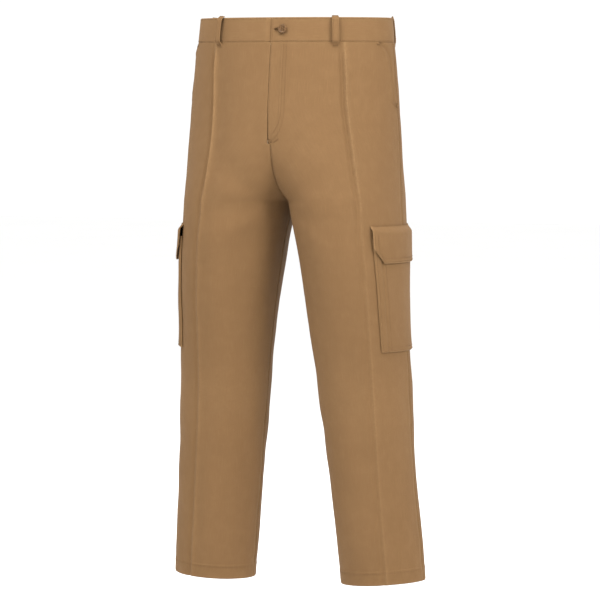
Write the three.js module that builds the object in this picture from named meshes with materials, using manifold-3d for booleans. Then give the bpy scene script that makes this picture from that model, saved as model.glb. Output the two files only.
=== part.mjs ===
// Men's cargo work trousers in the shape they hold when worn. Millimetres.
// Origin: centre of the waist opening, level with the top edge of the waistband.
// +Z is up, the front faces -Y and +X is the wearer's left.
import * as THREE from 'three';
import { mergeVertices } from 'three/addons/utils/BufferGeometryUtils.js';
import Module from 'manifold-3d';

const wasm = await Module();
wasm.setup();

const DEG = Math.PI / 180;

// ---------------------------------------------------------------- body sizes
// A "drop" is a distance down from the top edge of the waistband.
const outseam = 1040;
const bandHeight = 45;
const hipDrop = 200;
const crotchDrop = 335;
const thighDrop = 430;
const kneeDrop = 714;
const seatDrop = 150;            // the centre seams start to turn under the body here
const riseSharpness = 1.6;       // higher values part the legs later, closer to the crotch

const waistHalfWidth = 184;
const waistHalfDepth = 116;
const hipHalfWidth = 202;
const hipHalfDepth = 134;
const crotchHalfWidth = 208;
const crotchHalfDepth = 132;
const thighHalfWidth = 96.5;
const thighHalfDepth = 124;
const kneeHalfWidth = 82;
const kneeHalfDepth = 90;
const hemHalfWidth = 75.5;
const hemHalfDepth = 75.5;

const thighCentreX = 116.5;
const kneeCentreX = 139;
const hemCentreX = 165.5;
const hipForward = 7;
const crotchForward = 14;
const thighForward = 20;
const kneeForward = 8;
const hemForward = -8;
const hemTilt = 3.5 * DEG;       // each hem is square to its leg, so its outer side is higher

// -------------------------------------------------------------- cloth sizes
const clothThickness = 1.8;
const bandThickness = 2.4;
const liningThickness = 1.0;
const liningSetback = 2;
const seamGap = 0.3;
const outerGap = 0.3;
const innerGap = 0.6;
const acrossPanel = 16;
const bodyRowStep = 40;
const legRowStep = 75;

// ---------------------------------------------------------------- fly sizes
const flyEdge = 4;               // the lap reaches this far past the centre line
const lapGap = 0.6;              // the lap lifts past the edge of the panel it covers
const flyDrop = 229;
const lapWidth = 21;
const lapDrop = 222;
const facingReach = 38;
const underlapReach = 40;
const underlapRamp = 12;
const buttonFromEdge = 22;
const buttonDrop = 22;
const buttonRadius = 8.5;
const buttonThickness = 2.8;
const buttonStandOff = 2.2;
const buttonRimShare = 0.16;
const buttonDishShare = 0.25;
const buttonHoleOffsetShare = 0.22;
const buttonHoleShare = 0.1;
const threadRadius = 1.2;
const holeLength = 19;
const holeHeight = 3.4;

const zipX = 7;
const zipTop = bandHeight + 5;
const zipBottom = 222;
const chainTop = zipTop + 10;
const chainBottom = 203;
const chainDepth = 9.4;
const toothPitch = 9;
const toothDepth = 0.9;
const chainWidth = 2.6;
const chainThickness = 2.2;
const chainSpread = 0.8;
const tapeThickness = 0.7;
const tapeFlat = 2.5;
const tapeReach = 12;             // past the centre line, behind the wearer's right panel
const shieldReach = 28;
const sliderLength = 11;
const sliderWidth = 9.2;
const plateThickness = 0.9;
const plateClearance = 0.3;
const postThickness = 1.0;
const stopLength = 2.7;
const pullLength = 22;
const pullWidth = 6;
const pullThickness = 0.9;
const pullEye = 6;
const bailHeight = 2.0;
const bailThickness = 0.7;
const bailReach = 4;
const shieldThickness = 1.2;

// ------------------------------------------------------------ pocket sizes
const mouthTopAngle = 70 * DEG;
const mouthDrop = 165;
const facingInnerAngle = 52 * DEG;
const facingDrop = 200;
const handBagInnerAngle = 30 * DEG;
const handBagDrop = 285;
const bagSideMargin = 3 * DEG;
const pocketingThickness = 0.8;
const pocketingSpread = 1.2;

const cargoFrontAngle = 47 * DEG;
const cargoBackAngle = 133 * DEG;
const cargoMouthDrop = 401;
const cargoBottomDrop = 609;
const cargoDepth = 4.6;
const flapDrop = 378;
const flapHeight = 68;
const flapSideHeight = 42;
const flapCorner = 10 * DEG;
const flapOverhang = 1.2 * DEG;
const closureThickness = 0.8;
const closureHalfAngle = 14 * DEG;
const closureDrop = 416;
const closureHeight = 20;

const rearInnerX = 45;
const rearOuterX = 170;
const rearDrop = 98;
const rearWeltHeight = 13;
const rearWeltThickness = 1.4;
const rearBagDrop = 245;
const rearWeltInset = 6;
const rearButtonRadius = 7.5;

const hemFacingHeight = 25;
const hemFacingSetback = 0.5;

// --------------------------------------------------------- belt loop sizes
const loopWidth = 11;
const loopThickness = 1.6;
const loopRise = 3;
const loopDrop = bandHeight + 9;
const loopStandOff = 6.2;
const loopFoot = 5;
const loopShoulder = 4;          // the strap bends out to its stand-off within this length
const loopAngles = { front: 36.6 * DEG, side: 108 * DEG, rear: 147 * DEG };

// ------------------------------------------------------------- body surface

// Smooth curve through [drop, value] pairs that never overshoots them.
function curveThrough(points) {
  const slopes = points.map((point, i) => {
    if (i === 0 || i === points.length - 1) return 0;
    const before = (point[1] - points[i - 1][1]) / (point[0] - points[i - 1][0]);
    const after = (points[i + 1][1] - point[1]) / (points[i + 1][0] - point[0]);
    return before * after <= 0 ? 0 : (2 * before * after) / (before + after);
  });
  const last = points.length - 1;
  slopes[0] = (points[1][1] - points[0][1]) / (points[1][0] - points[0][0]);
  slopes[last] = (points[last][1] - points[last - 1][1]) / (points[last][0] - points[last - 1][0]);
  return (drop) => {
    const at = THREE.MathUtils.clamp(drop, points[0][0], points[last][0]);
    const i = Math.max(0, points.findIndex((point) => point[0] >= at) - 1);
    const [fromDrop, from] = points[i];
    const [toDrop, to] = points[i + 1];
    const span = toDrop - fromDrop;
    const t = (at - fromDrop) / span;
    const rise = 3 * t * t - 2 * t * t * t;
    const bendIn = t * (1 - t) * (1 - t) * span * slopes[i];
    const bendOut = t * t * (1 - t) * span * slopes[i + 1];
    return from + (to - from) * rise + bendIn - bendOut;
  };
}

const outerX = curveThrough([
  [0, waistHalfWidth],
  [hipDrop, hipHalfWidth],
  [crotchDrop, crotchHalfWidth],
  [thighDrop, thighCentreX + thighHalfWidth],
  [kneeDrop, kneeCentreX + kneeHalfWidth],
  [outseam, hemCentreX + hemHalfWidth],
]);
const innerX = curveThrough([
  [crotchDrop, 0],
  [thighDrop, thighCentreX - thighHalfWidth],
  [kneeDrop, kneeCentreX - kneeHalfWidth],
  [outseam, hemCentreX - hemHalfWidth],
]);
const sectionDepth = curveThrough([
  [0, waistHalfDepth],
  [hipDrop, hipHalfDepth],
  [crotchDrop, crotchHalfDepth],
  [thighDrop, thighHalfDepth],
  [kneeDrop, kneeHalfDepth],
  [outseam, hemHalfDepth],
]);
const sectionForward = curveThrough([
  [0, 0],
  [hipDrop, hipForward],
  [crotchDrop, crotchForward],
  [thighDrop, thighForward],
  [kneeDrop, kneeForward],
  [outseam, hemForward],
]);

// Half section of the body at a drop: an ellipse that the centre plane clips above the crotch.
function section(drop) {
  const outer = outerX(drop);
  const depth = sectionDepth(drop);
  const centreY = -sectionForward(drop);
  if (drop >= crotchDrop) {
    const inner = innerX(drop);
    return { centreX: (outer + inner) / 2, width: (outer - inner) / 2, depth, centreY };
  }
  const share = THREE.MathUtils.clamp((drop - seatDrop) / (crotchDrop - seatDrop), 0, 1);
  const turn = share ** riseSharpness;
  const width = outer / (1 + turn);
  return { centreX: outer - width, width, depth, centreY };
}

// Point of the wearer's left half. Angle 0 is the front, 90 degrees the side, 180 the back.
function skin(angle, drop, lift = 0) {
  const { centreX, width, depth, centreY } = section(drop);
  const normal = new THREE.Vector2(Math.sin(angle) / width, -Math.cos(angle) / depth);
  normal.setLength(lift);
  const lean = THREE.MathUtils.smoothstep(drop, kneeDrop, outseam) * Math.tan(hemTilt);
  const x = centreX + width * Math.sin(angle) + normal.x;
  const y = centreY - depth * Math.cos(angle) + normal.y;
  return new THREE.Vector3(x, y, -drop + lean * (x - centreX));
}

// Angle at which the section passes a given x, on the front half.
function angleAt(x, drop) {
  const { centreX, width } = section(drop);
  return Math.asin(THREE.MathUtils.clamp((x - centreX) / width, -1, 1));
}

function halfGapAngle(drop) {
  return seamGap / 2 / section(drop).depth;
}

// ------------------------------------------------------------ solid makers

// Closed shell between two skins of the same grid. A ring closes on itself across.
function shell(columns, rows, outer, inner, ring = false) {
  const across = ring ? columns : columns + 1;
  const positions = [];
  for (const surface of [outer, inner]) {
    for (let row = 0; row <= rows; row += 1) {
      for (let column = 0; column < across; column += 1) {
        positions.push(...surface(column, row).toArray());
      }
    }
  }
  const innerStart = across * (rows + 1);
  const at = (column, row) => row * across + (column % across);
  const indices = [];
  const quad = (a, b, c, d) => indices.push(a, b, c, a, c, d);
  for (let row = 0; row < rows; row += 1) {
    for (let column = 0; column < columns; column += 1) {
      const corners = [at(column, row), at(column, row + 1), at(column + 1, row + 1), at(column + 1, row)];
      quad(...corners);
      quad(...corners.reverse().map((index) => index + innerStart));
    }
  }
  for (let column = 0; column < columns; column += 1) {
    const top = [at(column, 0), at(column + 1, 0)];
    const bottom = [at(column + 1, rows), at(column, rows)];
    quad(top[0], top[1], top[1] + innerStart, top[0] + innerStart);
    quad(bottom[0], bottom[1], bottom[1] + innerStart, bottom[0] + innerStart);
  }
  if (!ring) {
    for (let row = 0; row < rows; row += 1) {
      const start = [at(0, row + 1), at(0, row)];
      const end = [at(columns, row), at(columns, row + 1)];
      quad(start[0], start[1], start[1] + innerStart, start[0] + innerStart);
      quad(end[0], end[1], end[1] + innerStart, end[0] + innerStart);
    }
  }
  const geometry = new THREE.BufferGeometry();
  geometry.setAttribute('position', new THREE.Float32BufferAttribute(positions, 3));
  geometry.setIndex(indices);
  return facingOut(geometry);
}

function signedVolume(geometry) {
  const position = geometry.getAttribute('position');
  const index = geometry.getIndex();
  const corners = [new THREE.Vector3(), new THREE.Vector3(), new THREE.Vector3()];
  let sum = 0;
  for (let i = 0; i < index.count; i += 3) {
    corners.forEach((corner, k) => corner.fromBufferAttribute(position, index.getX(i + k)));
    sum += corners[0].dot(corners[1].clone().cross(corners[2]));
  }
  return sum;
}

function facingOut(geometry) {
  if (signedVolume(geometry) < 0) {
    const index = geometry.getIndex();
    for (let i = 0; i < index.count; i += 3) {
      const swapped = index.getX(i);
      index.setX(i, index.getX(i + 1));
      index.setX(i + 1, swapped);
    }
  }
  return geometry;
}

// The wearer's right half is the mirror of the left half.
function mirrored(geometry) {
  return facingOut(welded(geometry.clone().scale(-1, 1, 1)));
}

function welded(geometry) {
  const copy = geometry.clone();
  copy.deleteAttribute('normal');
  copy.deleteAttribute('uv');
  return mergeVertices(copy, 1e-4);
}

function solid(geometry) {
  const merged = welded(geometry);
  return new wasm.Manifold(new wasm.Mesh({
    numProp: 3,
    vertProperties: new Float32Array(merged.getAttribute('position').array),
    triVerts: new Uint32Array(merged.getIndex().array),
  }));
}

function geometryOf(manifold) {
  const mesh = manifold.getMesh();
  const geometry = new THREE.BufferGeometry();
  geometry.setAttribute('position', new THREE.Float32BufferAttribute(mesh.vertProperties, 3));
  geometry.setIndex(Array.from(mesh.triVerts));
  return geometry;
}

function box(low, high) {
  const size = new THREE.Vector3().subVectors(high, low);
  const middle = new THREE.Vector3().addVectors(low, high).multiplyScalar(0.5);
  return new THREE.BoxGeometry(size.x, size.y, size.z).translate(middle.x, middle.y, middle.z);
}

// Drops from one level to another in equal steps, passing through every key level.
function levels(from, to, keys, step) {
  const stops = [from, ...keys.filter((key) => key > from && key < to).sort((a, b) => a - b), to];
  const list = [from];
  for (let i = 1; i < stops.length; i += 1) {
    const parts = Math.max(1, Math.round((stops[i] - stops[i - 1]) / step));
    for (let k = 1; k <= parts; k += 1) {
      list.push(stops[i - 1] + ((stops[i] - stops[i - 1]) * k) / parts);
    }
  }
  return list;
}

// Every piece of cloth on the body bends at the same levels, so layers follow each other.
const panelTop = bandHeight + seamGap;
const flyStep = 2;
const riseShares = [0.12, 0.25, 0.36, 0.55, 0.7, 0.82, 0.92];
const crotchRows = riseShares.map((share) => seatDrop + share * (crotchDrop - seatDrop));
const keyRows = [mouthDrop, seatDrop, flyDrop, flyDrop + flyStep, ...crotchRows];
const bodyRows = [
  ...levels(panelTop, crotchDrop, keyRows, bodyRowStep),
  ...levels(crotchDrop, outseam, [thighDrop, kneeDrop], legRowStep).slice(1),
];

function rowsBetween(from, to) {
  return [from, ...bodyRows.filter((drop) => drop > from && drop < to), to];
}

// Cloth on the body: start and end give its edge angles at a drop, lift gives its outer face.
function cloth({ start, end, drops, columns, lift = () => 0, thickness = clothThickness }) {
  const angle = (column, drop) => THREE.MathUtils.lerp(start(drop), end(drop), column / columns);
  const face = (depth) => (column, row) => {
    const drop = drops[row];
    const across = angle(column, drop);
    return skin(across, drop, lift(across, drop) - depth);
  };
  return shell(columns, drops.length - 1, face(0), face(thickness));
}

// ------------------------------------------------------------------- legs


function frontPanel(edgeAtFly) {
  const edge = (drop) => (drop <= flyDrop ? edgeAtFly : seamGap / 2);
  const mouth = (drop) => {
    const share = THREE.MathUtils.clamp((drop - bandHeight) / (mouthDrop - bandHeight), 0, 1);
    return THREE.MathUtils.lerp(mouthTopAngle, Math.PI / 2 - halfGapAngle(drop), share);
  };
  return cloth({
    start: (drop) => Math.max(angleAt(edge(drop), drop), -Math.PI / 2 + halfGapAngle(drop)),
    end: mouth,
    drops: bodyRows,
    columns: acrossPanel,
  });
}

function backPanel() {
  return cloth({
    start: (drop) => Math.PI / 2 + halfGapAngle(drop),
    end: (drop) => Math.PI - Math.max(angleAt(seamGap / 2, drop), -Math.PI / 2 + halfGapAngle(drop)),
    drops: bodyRows,
    columns: acrossPanel,
  });
}

// The region that the fly lap fills, seen from the front, with a rounded lower corner.
function lapRegion(clearance) {
  const right = lapWidth - flyEdge + clearance;
  const bottom = -lapDrop - clearance;
  const left = -flyEdge - lapWidth;
  const corner = lapWidth;
  const outline = new THREE.Shape();
  outline.moveTo(left, 0);
  outline.lineTo(left, bottom);
  outline.lineTo(right - corner, bottom);
  outline.absarc(right - corner, bottom + corner, corner, -Math.PI / 2, 0, false);
  outline.lineTo(right, 0);
  const depth = hipHalfDepth;
  const prism = new THREE.ExtrudeGeometry(outline, { depth, bevelEnabled: false, curveSegments: 6 });
  prism.rotateX(Math.PI / 2);
  return solid(prism.translate(0, -waistHalfDepth / 2, 0));
}

const leftFrontWhole = solid(frontPanel(-flyEdge));
const leftFront = geometryOf(leftFrontWhole.subtract(lapRegion(seamGap)));
const flyLap = geometryOf(leftFrontWhole.intersect(lapRegion(0)));
const rightFront = mirrored(frontPanel(flyEdge + lapGap));
const leftBack = backPanel();

function hemFacing() {
  const columns = 2 * acrossPanel;
  const drops = [outseam - hemFacingHeight, outseam - hemFacingSetback];
  const face = (depth) => (column, row) => skin((column / columns) * 2 * Math.PI, drops[row], -depth);
  const outside = clothThickness + innerGap;
  return shell(columns, 1, face(outside), face(outside + liningThickness), true);
}

// -------------------------------------------------------------- waistband

const bandColumns = 24;

// Depth of the wearer's right waistband below the surface, where it runs under the lap.
function underlapDepth(x) {
  const hidden = bandThickness + outerGap;
  return hidden * THREE.MathUtils.smoothstep(x, -flyEdge - underlapRamp, -flyEdge);
}

const bandDrops = [0, bandHeight / 2, bandHeight];

function leftBand() {
  return cloth({
    start: (drop) => angleAt(-flyEdge, drop),
    end: (drop) => Math.PI - angleAt(seamGap / 2, drop),
    drops: bandDrops,
    columns: bandColumns,
    thickness: bandThickness,
  });
}

// Mirrored onto the wearer's right, so its own x runs the other way.
function rightBand() {
  const under = 8;
  const ramp = 4;
  const columns = under + ramp + bandColumns;
  const angle = (column, drop) => {
    const tip = angleAt(-underlapReach, drop);
    const edge = angleAt(flyEdge, drop);
    const surface = angleAt(flyEdge + underlapRamp, drop);
    const end = Math.PI - angleAt(seamGap / 2, drop);
    if (column <= under) return THREE.MathUtils.lerp(tip, edge, column / under);
    if (column <= under + ramp) return THREE.MathUtils.lerp(edge, surface, (column - under) / ramp);
    return THREE.MathUtils.lerp(surface, end, (column - under - ramp) / bandColumns);
  };
  const face = (depth) => (column, row) => {
    const drop = bandDrops[row];
    const across = angle(column, drop);
    const x = column <= under + ramp ? -skin(across, drop).x : -waistHalfWidth;
    return skin(across, drop, -depth - underlapDepth(x));
  };
  return mirrored(shell(columns, bandDrops.length - 1, face(0), face(bandThickness)));
}

function bandLining(startX) {
  return cloth({
    start: (drop) => angleAt(startX, drop),
    end: (drop) => Math.PI - angleAt(seamGap, drop),
    drops: [liningSetback, bandHeight / 2, bandHeight],
    columns: bandColumns,
    lift: () => -bandThickness - innerGap,
    thickness: liningThickness,
  });
}

// -------------------------------------------------------------- waist button

const buttonX = buttonFromEdge - flyEdge;
const buttonAngle = angleAt(buttonX, buttonDrop);
const buttonSeat = skin(buttonAngle, buttonDrop);

// Moves a solid that was made round +Z at the origin so that +Z points out of the cloth.
function standOn(geometry, seat, outward) {
  const turn = new THREE.Quaternion().setFromUnitVectors(new THREE.Vector3(0, 0, 1), outward);
  return geometry.applyQuaternion(turn).translate(seat.x, seat.y, seat.z);
}

// Direction square to the cloth, which leans with the slope of the body.
function outwardAt(angle, drop) {
  const step = 1;
  const around = skin(angle + step * DEG, drop).sub(skin(angle - step * DEG, drop));
  const upward = skin(angle, drop - step).sub(skin(angle, drop + step));
  return around.cross(upward).normalize();
}

function buttonDisc(radius, thickness, base) {
  const rim = buttonRimShare * radius;
  const dish = buttonDishShare * thickness;
  const profile = [
    new THREE.Vector2(0, base),
    new THREE.Vector2(radius - rim, base),
    new THREE.Vector2(radius, base + thickness / 2),
    new THREE.Vector2(radius - rim, base + thickness),
    new THREE.Vector2(radius - 2 * rim, base + thickness - dish),
    new THREE.Vector2(0, base + thickness - dish),
  ];
  const disc = solid(new THREE.LatheGeometry(profile, 16).rotateX(Math.PI / 2));
  const holeOffset = buttonHoleOffsetShare * radius;
  const holeRadius = buttonHoleShare * radius;
  let drilled = disc;
  for (const [sideX, sideY] of [[1, 1], [1, -1], [-1, 1], [-1, -1]]) {
    const hole = new THREE.CylinderGeometry(holeRadius, holeRadius, 4 * thickness, 6).rotateX(Math.PI / 2);
    hole.translate(sideX * holeOffset, sideY * holeOffset, base);
    drilled = drilled.subtract(solid(hole));
  }
  return geometryOf(drilled);
}

function waistButton() {
  const disc = buttonDisc(buttonRadius, buttonThickness, buttonStandOff);
  return standOn(disc, buttonSeat, outwardAt(buttonAngle, buttonDrop));
}

function buttonThread() {
  const below = bandThickness;
  const length = below + buttonStandOff - seamGap;
  const shank = new THREE.CylinderGeometry(threadRadius, threadRadius, length, 12).rotateX(Math.PI / 2);
  shank.translate(0, 0, length / 2 - below);
  return standOn(shank, buttonSeat, outwardAt(buttonAngle, buttonDrop));
}

function buttonhole() {
  const cut = new THREE.Shape();
  const half = holeLength / 2 - holeHeight / 2;
  cut.absarc(half, 0, holeHeight / 2, -Math.PI / 2, Math.PI / 2, false);
  cut.absarc(-half, 0, holeHeight / 2, Math.PI / 2, 1.5 * Math.PI, false);
  const depth = 4 * bandThickness;
  const slot = new THREE.ExtrudeGeometry(cut, { depth, bevelEnabled: false, curveSegments: 5 });
  slot.translate(threadRadius - half, 0, -depth / 2);
  return solid(standOn(slot, buttonSeat, outwardAt(buttonAngle, buttonDrop)));
}

const leftBandCut = geometryOf(solid(leftBand()).subtract(buttonhole()));

// ---------------------------------------------------------------------- zip

// The zip lies on a straight line behind the lap. Its own axes: across, up and inward.
const zipHigh = skin(angleAt(zipX, zipTop), zipTop);
const zipLow = skin(angleAt(zipX, zipBottom), zipBottom);
const zipUp = new THREE.Vector3().subVectors(zipHigh, zipLow).normalize();
const zipAcross = new THREE.Vector3(1, 0, 0);
const zipInward = new THREE.Vector3().crossVectors(zipUp, zipAcross).normalize();
const zipLength = zipHigh.distanceTo(zipLow);
const alongZip = (drop) => (zipLength * (drop - zipTop)) / (zipBottom - zipTop);

// Places a solid made in zip axes: x across, y inward, z up from the zip's top.
function onZip(geometry) {
  const basis = new THREE.Matrix4().makeBasis(zipAcross, zipInward, zipUp);
  basis.setPosition(zipHigh.x, zipHigh.y, zipHigh.z);
  return geometry.applyMatrix4(basis);
}

function zipBox(lowX, highX, lowDepth, highDepth, fromDrop, toDrop) {
  const low = new THREE.Vector3(lowX, lowDepth, -alongZip(toDrop));
  const high = new THREE.Vector3(highX, highDepth, -alongZip(fromDrop));
  return box(low, high);
}

// How far the front surface curves back from its centre at a distance across.
function frontSag(x) {
  const { width, depth } = section(zipTop);
  return depth * (1 - Math.sqrt(1 - (x / width) ** 2));
}

// A flat piece with a bent cross-section: [x, depth] points, swept along the zip.
function zipStrip(route, thickness, fromDrop, toDrop) {
  const rows = [fromDrop, toDrop];
  const face = (extra) => (column, row) => {
    const [x, depth] = route[column];
    return new THREE.Vector3(x, depth + extra, -alongZip(rows[row]));
  };
  return onZip(shell(route.length - 1, 1, face(0), face(thickness)));
}

const chainFront = chainDepth - chainThickness / 2;
const tapeFront = chainDepth - tapeThickness / 2;
const tapeInner = chainSpread + chainWidth + seamGap;

function zipChain(side) {
  const length = alongZip(chainBottom) - alongZip(chainTop);
  const teeth = Math.floor(length / toothPitch);
  const outline = new THREE.Shape();
  const back = chainSpread + chainWidth;
  outline.moveTo(back, 0);
  for (let tooth = 0; tooth < teeth; tooth += 1) {
    const z = -tooth * toothPitch;
    outline.lineTo(chainSpread, z);
    outline.lineTo(chainSpread, z - toothPitch / 2);
    outline.lineTo(chainSpread + toothDepth, z - toothPitch / 2);
    outline.lineTo(chainSpread + toothDepth, z - toothPitch);
  }
  outline.lineTo(back, -teeth * toothPitch);
  const chain = new THREE.ExtrudeGeometry(outline, { depth: chainThickness, bevelEnabled: false });
  chain.rotateX(Math.PI / 2).translate(0, chainFront + chainThickness, -alongZip(chainTop));
  return onZip(side > 0 ? welded(chain) : mirrored(chain));
}

function zipTape(side) {
  const panelBack = clothThickness + innerGap + liningThickness;
  const reach = side > 0 ? facingReach - zipX - seamGap : zipX + tapeReach;
  const backOfCloth = side > 0 ? panelBack : clothThickness;
  const endDepth = backOfCloth + frontSag(side > 0 ? facingReach : tapeReach) + innerGap;
  const flat = tapeInner + tapeFlat;
  const route = [[tapeInner, tapeFront], [flat, tapeFront], [reach, endDepth]];
  return zipStrip(route.map(([x, depth]) => [side * x, depth]), tapeThickness, zipTop, zipBottom);
}

const chainBack = chainSpread + chainWidth;
const topStopDrop = chainTop - seamGap - stopLength;

function zipStop(lowX, highX, fromDrop) {
  const back = chainFront + chainThickness;
  return onZip(zipBox(lowX, highX, chainFront, back, fromDrop, fromDrop + stopLength));
}

const sliderDrop = chainTop + sliderLength / 2;
const sliderFront = chainFront - plateClearance - plateThickness;
const sliderBack = chainFront + chainThickness + plateClearance;

function zipSlider() {
  const top = sliderDrop - sliderLength / 2;
  const bottom = sliderDrop + sliderLength / 2;
  const halfWidth = sliderWidth / 2;
  const halfPost = postThickness / 2;
  const frontPlate = zipBox(-halfWidth, halfWidth, sliderFront, sliderFront + plateThickness, top, bottom);
  const backPlate = zipBox(-halfWidth, halfWidth, sliderBack, sliderBack + plateThickness, top, bottom);
  const post = zipBox(-halfPost, halfPost, sliderFront, sliderBack + plateThickness, top, bottom);
  const bailSide = bailThickness;
  const bailFront = sliderFront - bailHeight;
  const legEnd = sliderFront + plateThickness / 2;
  const high = sliderDrop - bailReach;
  const low = sliderDrop + bailReach;
  const bridge = zipBox(-bailSide, bailSide, bailFront, bailFront + bailThickness, high, low);
  const upperLeg = zipBox(-bailSide, bailSide, bailFront, legEnd, high, high + 1);
  const lowerLeg = zipBox(-bailSide, bailSide, bailFront, legEnd, low - 1, low);
  const body = [backPlate, post, bridge, upperLeg, lowerLeg];
  return onZip(geometryOf(body.reduce((sum, piece) => sum.add(solid(piece)), solid(frontPlate))));
}

const pullFront = sliderFront - seamGap / 2 - pullThickness;

function zipPull() {
  const back = pullFront + pullThickness;
  const halfWidth = pullWidth / 2;
  const top = sliderDrop - pullThickness / 2;
  const plate = zipBox(-halfWidth, halfWidth, pullFront, back, top, top + pullLength);
  const eyeTop = top + pullThickness;
  const eye = zipBox(-halfWidth / 2, halfWidth / 2, pullFront - 1, back + 1, eyeTop, top + pullEye);
  return onZip(geometryOf(solid(plate).subtract(solid(eye))));
}

function flyFacing() {
  return cloth({
    start: (drop) => angleAt(lapWidth - flyEdge + 2 * seamGap, drop),
    end: (drop) => angleAt(facingReach, drop),
    drops: rowsBetween(panelTop, lapDrop),
    columns: 2,
    lift: () => -clothThickness - innerGap,
    thickness: liningThickness,
  });
}

function flyShield() {
  const behindSlider = sliderBack + plateThickness + 2 * innerGap;
  const seat = clothThickness + innerGap;
  const clearOfTape = tapeThickness + 3 * innerGap;
  const route = [
    [-zipX - shieldReach, seat + frontSag(shieldReach)],
    [-zipX - tapeReach, seat + frontSag(tapeReach) + clearOfTape],
    [-tapeInner, behindSlider],
    [facingReach - zipX, behindSlider],
  ];
  return zipStrip(route, shieldThickness, zipTop - seamGap, lapDrop);
}

// ------------------------------------------------------------------ pockets

function handFacing() {
  const depth = clothThickness + innerGap;
  return cloth({
    start: () => facingInnerAngle,
    end: (drop) => Math.PI / 2 - halfGapAngle(drop),
    drops: rowsBetween(panelTop, facingDrop),
    columns: 7,
    lift: () => -depth,
    thickness: liningThickness,
  });
}

// Folded pocketing that hangs behind a panel: down one layer, round the fold, up the other.
function bag({ start, end, fromDrop, toDrop, depth, columns }) {
  const down = rowsBetween(fromDrop, toDrop);
  const path = [
    ...down.map((drop) => [drop, depth]),
    ...down.slice().reverse().map((drop) => [drop, depth + pocketingThickness + pocketingSpread]),
  ];
  const fold = down.length;
  const face = (inner) => (column, row) => {
    const [drop, near] = path[row];
    const angle = THREE.MathUtils.lerp(start(drop), end(drop), column / columns);
    const outerLayer = row < fold;
    const atFold = row === fold - 1 || row === fold;
    const turned = atFold && inner ? drop - pocketingThickness : drop;
    const inward = outerLayer === inner ? near + pocketingThickness : near;
    return skin(angle, turned, -inward);
  };
  return shell(columns, path.length - 1, face(false), face(true));
}

function handBag() {
  return bag({
    start: () => handBagInnerAngle,
    end: () => Math.PI / 2 - bagSideMargin,
    fromDrop: panelTop,
    toDrop: handBagDrop,
    depth: clothThickness + 2 * innerGap + liningThickness,
    columns: 8,
  });
}

const rearAngle = (x) => (drop) => Math.PI - angleAt(x, drop);

function rearBag() {
  return bag({
    start: rearAngle(rearOuterX),
    end: rearAngle(rearInnerX),
    fromDrop: panelTop,
    toDrop: rearBagDrop,
    depth: clothThickness + innerGap,
    columns: 8,
  });
}

function rearWelt() {
  return cloth({
    start: rearAngle(rearOuterX - rearWeltInset),
    end: rearAngle(rearInnerX + rearWeltInset),
    drops: [rearDrop, rearDrop + rearWeltHeight],
    columns: 10,
    lift: () => outerGap + rearWeltThickness,
    thickness: rearWeltThickness,
  });
}

function rearButton() {
  const drop = rearDrop + rearWeltHeight / 2;
  const angle = rearAngle((rearInnerX + rearOuterX) / 2)(drop);
  const base = 3 * outerGap + rearWeltThickness;
  const disc = buttonDisc(rearButtonRadius, buttonThickness, base);
  return standOn(disc, skin(angle, drop), outwardAt(angle, drop));
}

// Bellows pocket: an outer wall with gussets at its sides and bottom, open at the top.
function cargoPocket() {
  const columns = 12;
  const drops = rowsBetween(cargoMouthDrop, cargoBottomDrop);
  const rows = drops.length;
  const face = (inner) => (column, row) => {
    const outward = column === 0 || column === columns + 2 || row === rows;
    const lift = outward ? outerGap : cargoDepth - (inner ? clothThickness : 0);
    const share = THREE.MathUtils.clamp((column - 1) / columns, 0, 1);
    const drop = drops[Math.min(row, rows - 1)];
    const wall = inner ? clothThickness : 0;
    const inset = wall / section(drop).width;
    const angle = THREE.MathUtils.lerp(cargoFrontAngle + inset, cargoBackAngle - inset, share);
    return skin(angle, row >= rows - 1 ? drop - wall : drop, lift);
  };
  return shell(columns + 2, rows, face(false), face(true));
}

const flapInner = cargoDepth + 3 * outerGap + 2 * closureThickness;

function cargoFlap() {
  const columns = 14;
  const start = cargoFrontAngle - flapOverhang;
  const end = cargoBackAngle + flapOverhang;
  const rise = [0, 0.05, 0.12, 0.22, 0.4, 0.7, 1];
  const lift = [0.02, 0.45, 0.82, 1, 1, 1, 1];
  const height = (angle) => {
    const fromCorner = Math.min(angle - start, end - angle) / flapCorner;
    return THREE.MathUtils.lerp(flapSideHeight, flapHeight, THREE.MathUtils.clamp(fromCorner, 0, 1));
  };
  const face = (depth) => (column, row) => {
    const corner = Math.min(flapCorner, (end - start) / 3);
    let angle = THREE.MathUtils.lerp(start + corner, end - corner, (column - 1) / (columns - 2));
    if (column === 0) angle = start;
    if (column === columns) angle = end;
    const outer = THREE.MathUtils.lerp(outerGap, flapInner, lift[row]) + clothThickness;
    return skin(angle, flapDrop + rise[row] * height(angle), outer - depth);
  };
  return shell(columns, rise.length - 1, face(0), face(clothThickness));
}

function closureTape(base) {
  return cloth({
    start: () => Math.PI / 2 - closureHalfAngle,
    end: () => Math.PI / 2 + closureHalfAngle,
    drops: [closureDrop, closureDrop + closureHeight],
    columns: 4,
    lift: () => base + closureThickness,
    thickness: closureThickness,
  });
}

// --------------------------------------------------------------- belt loops

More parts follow.
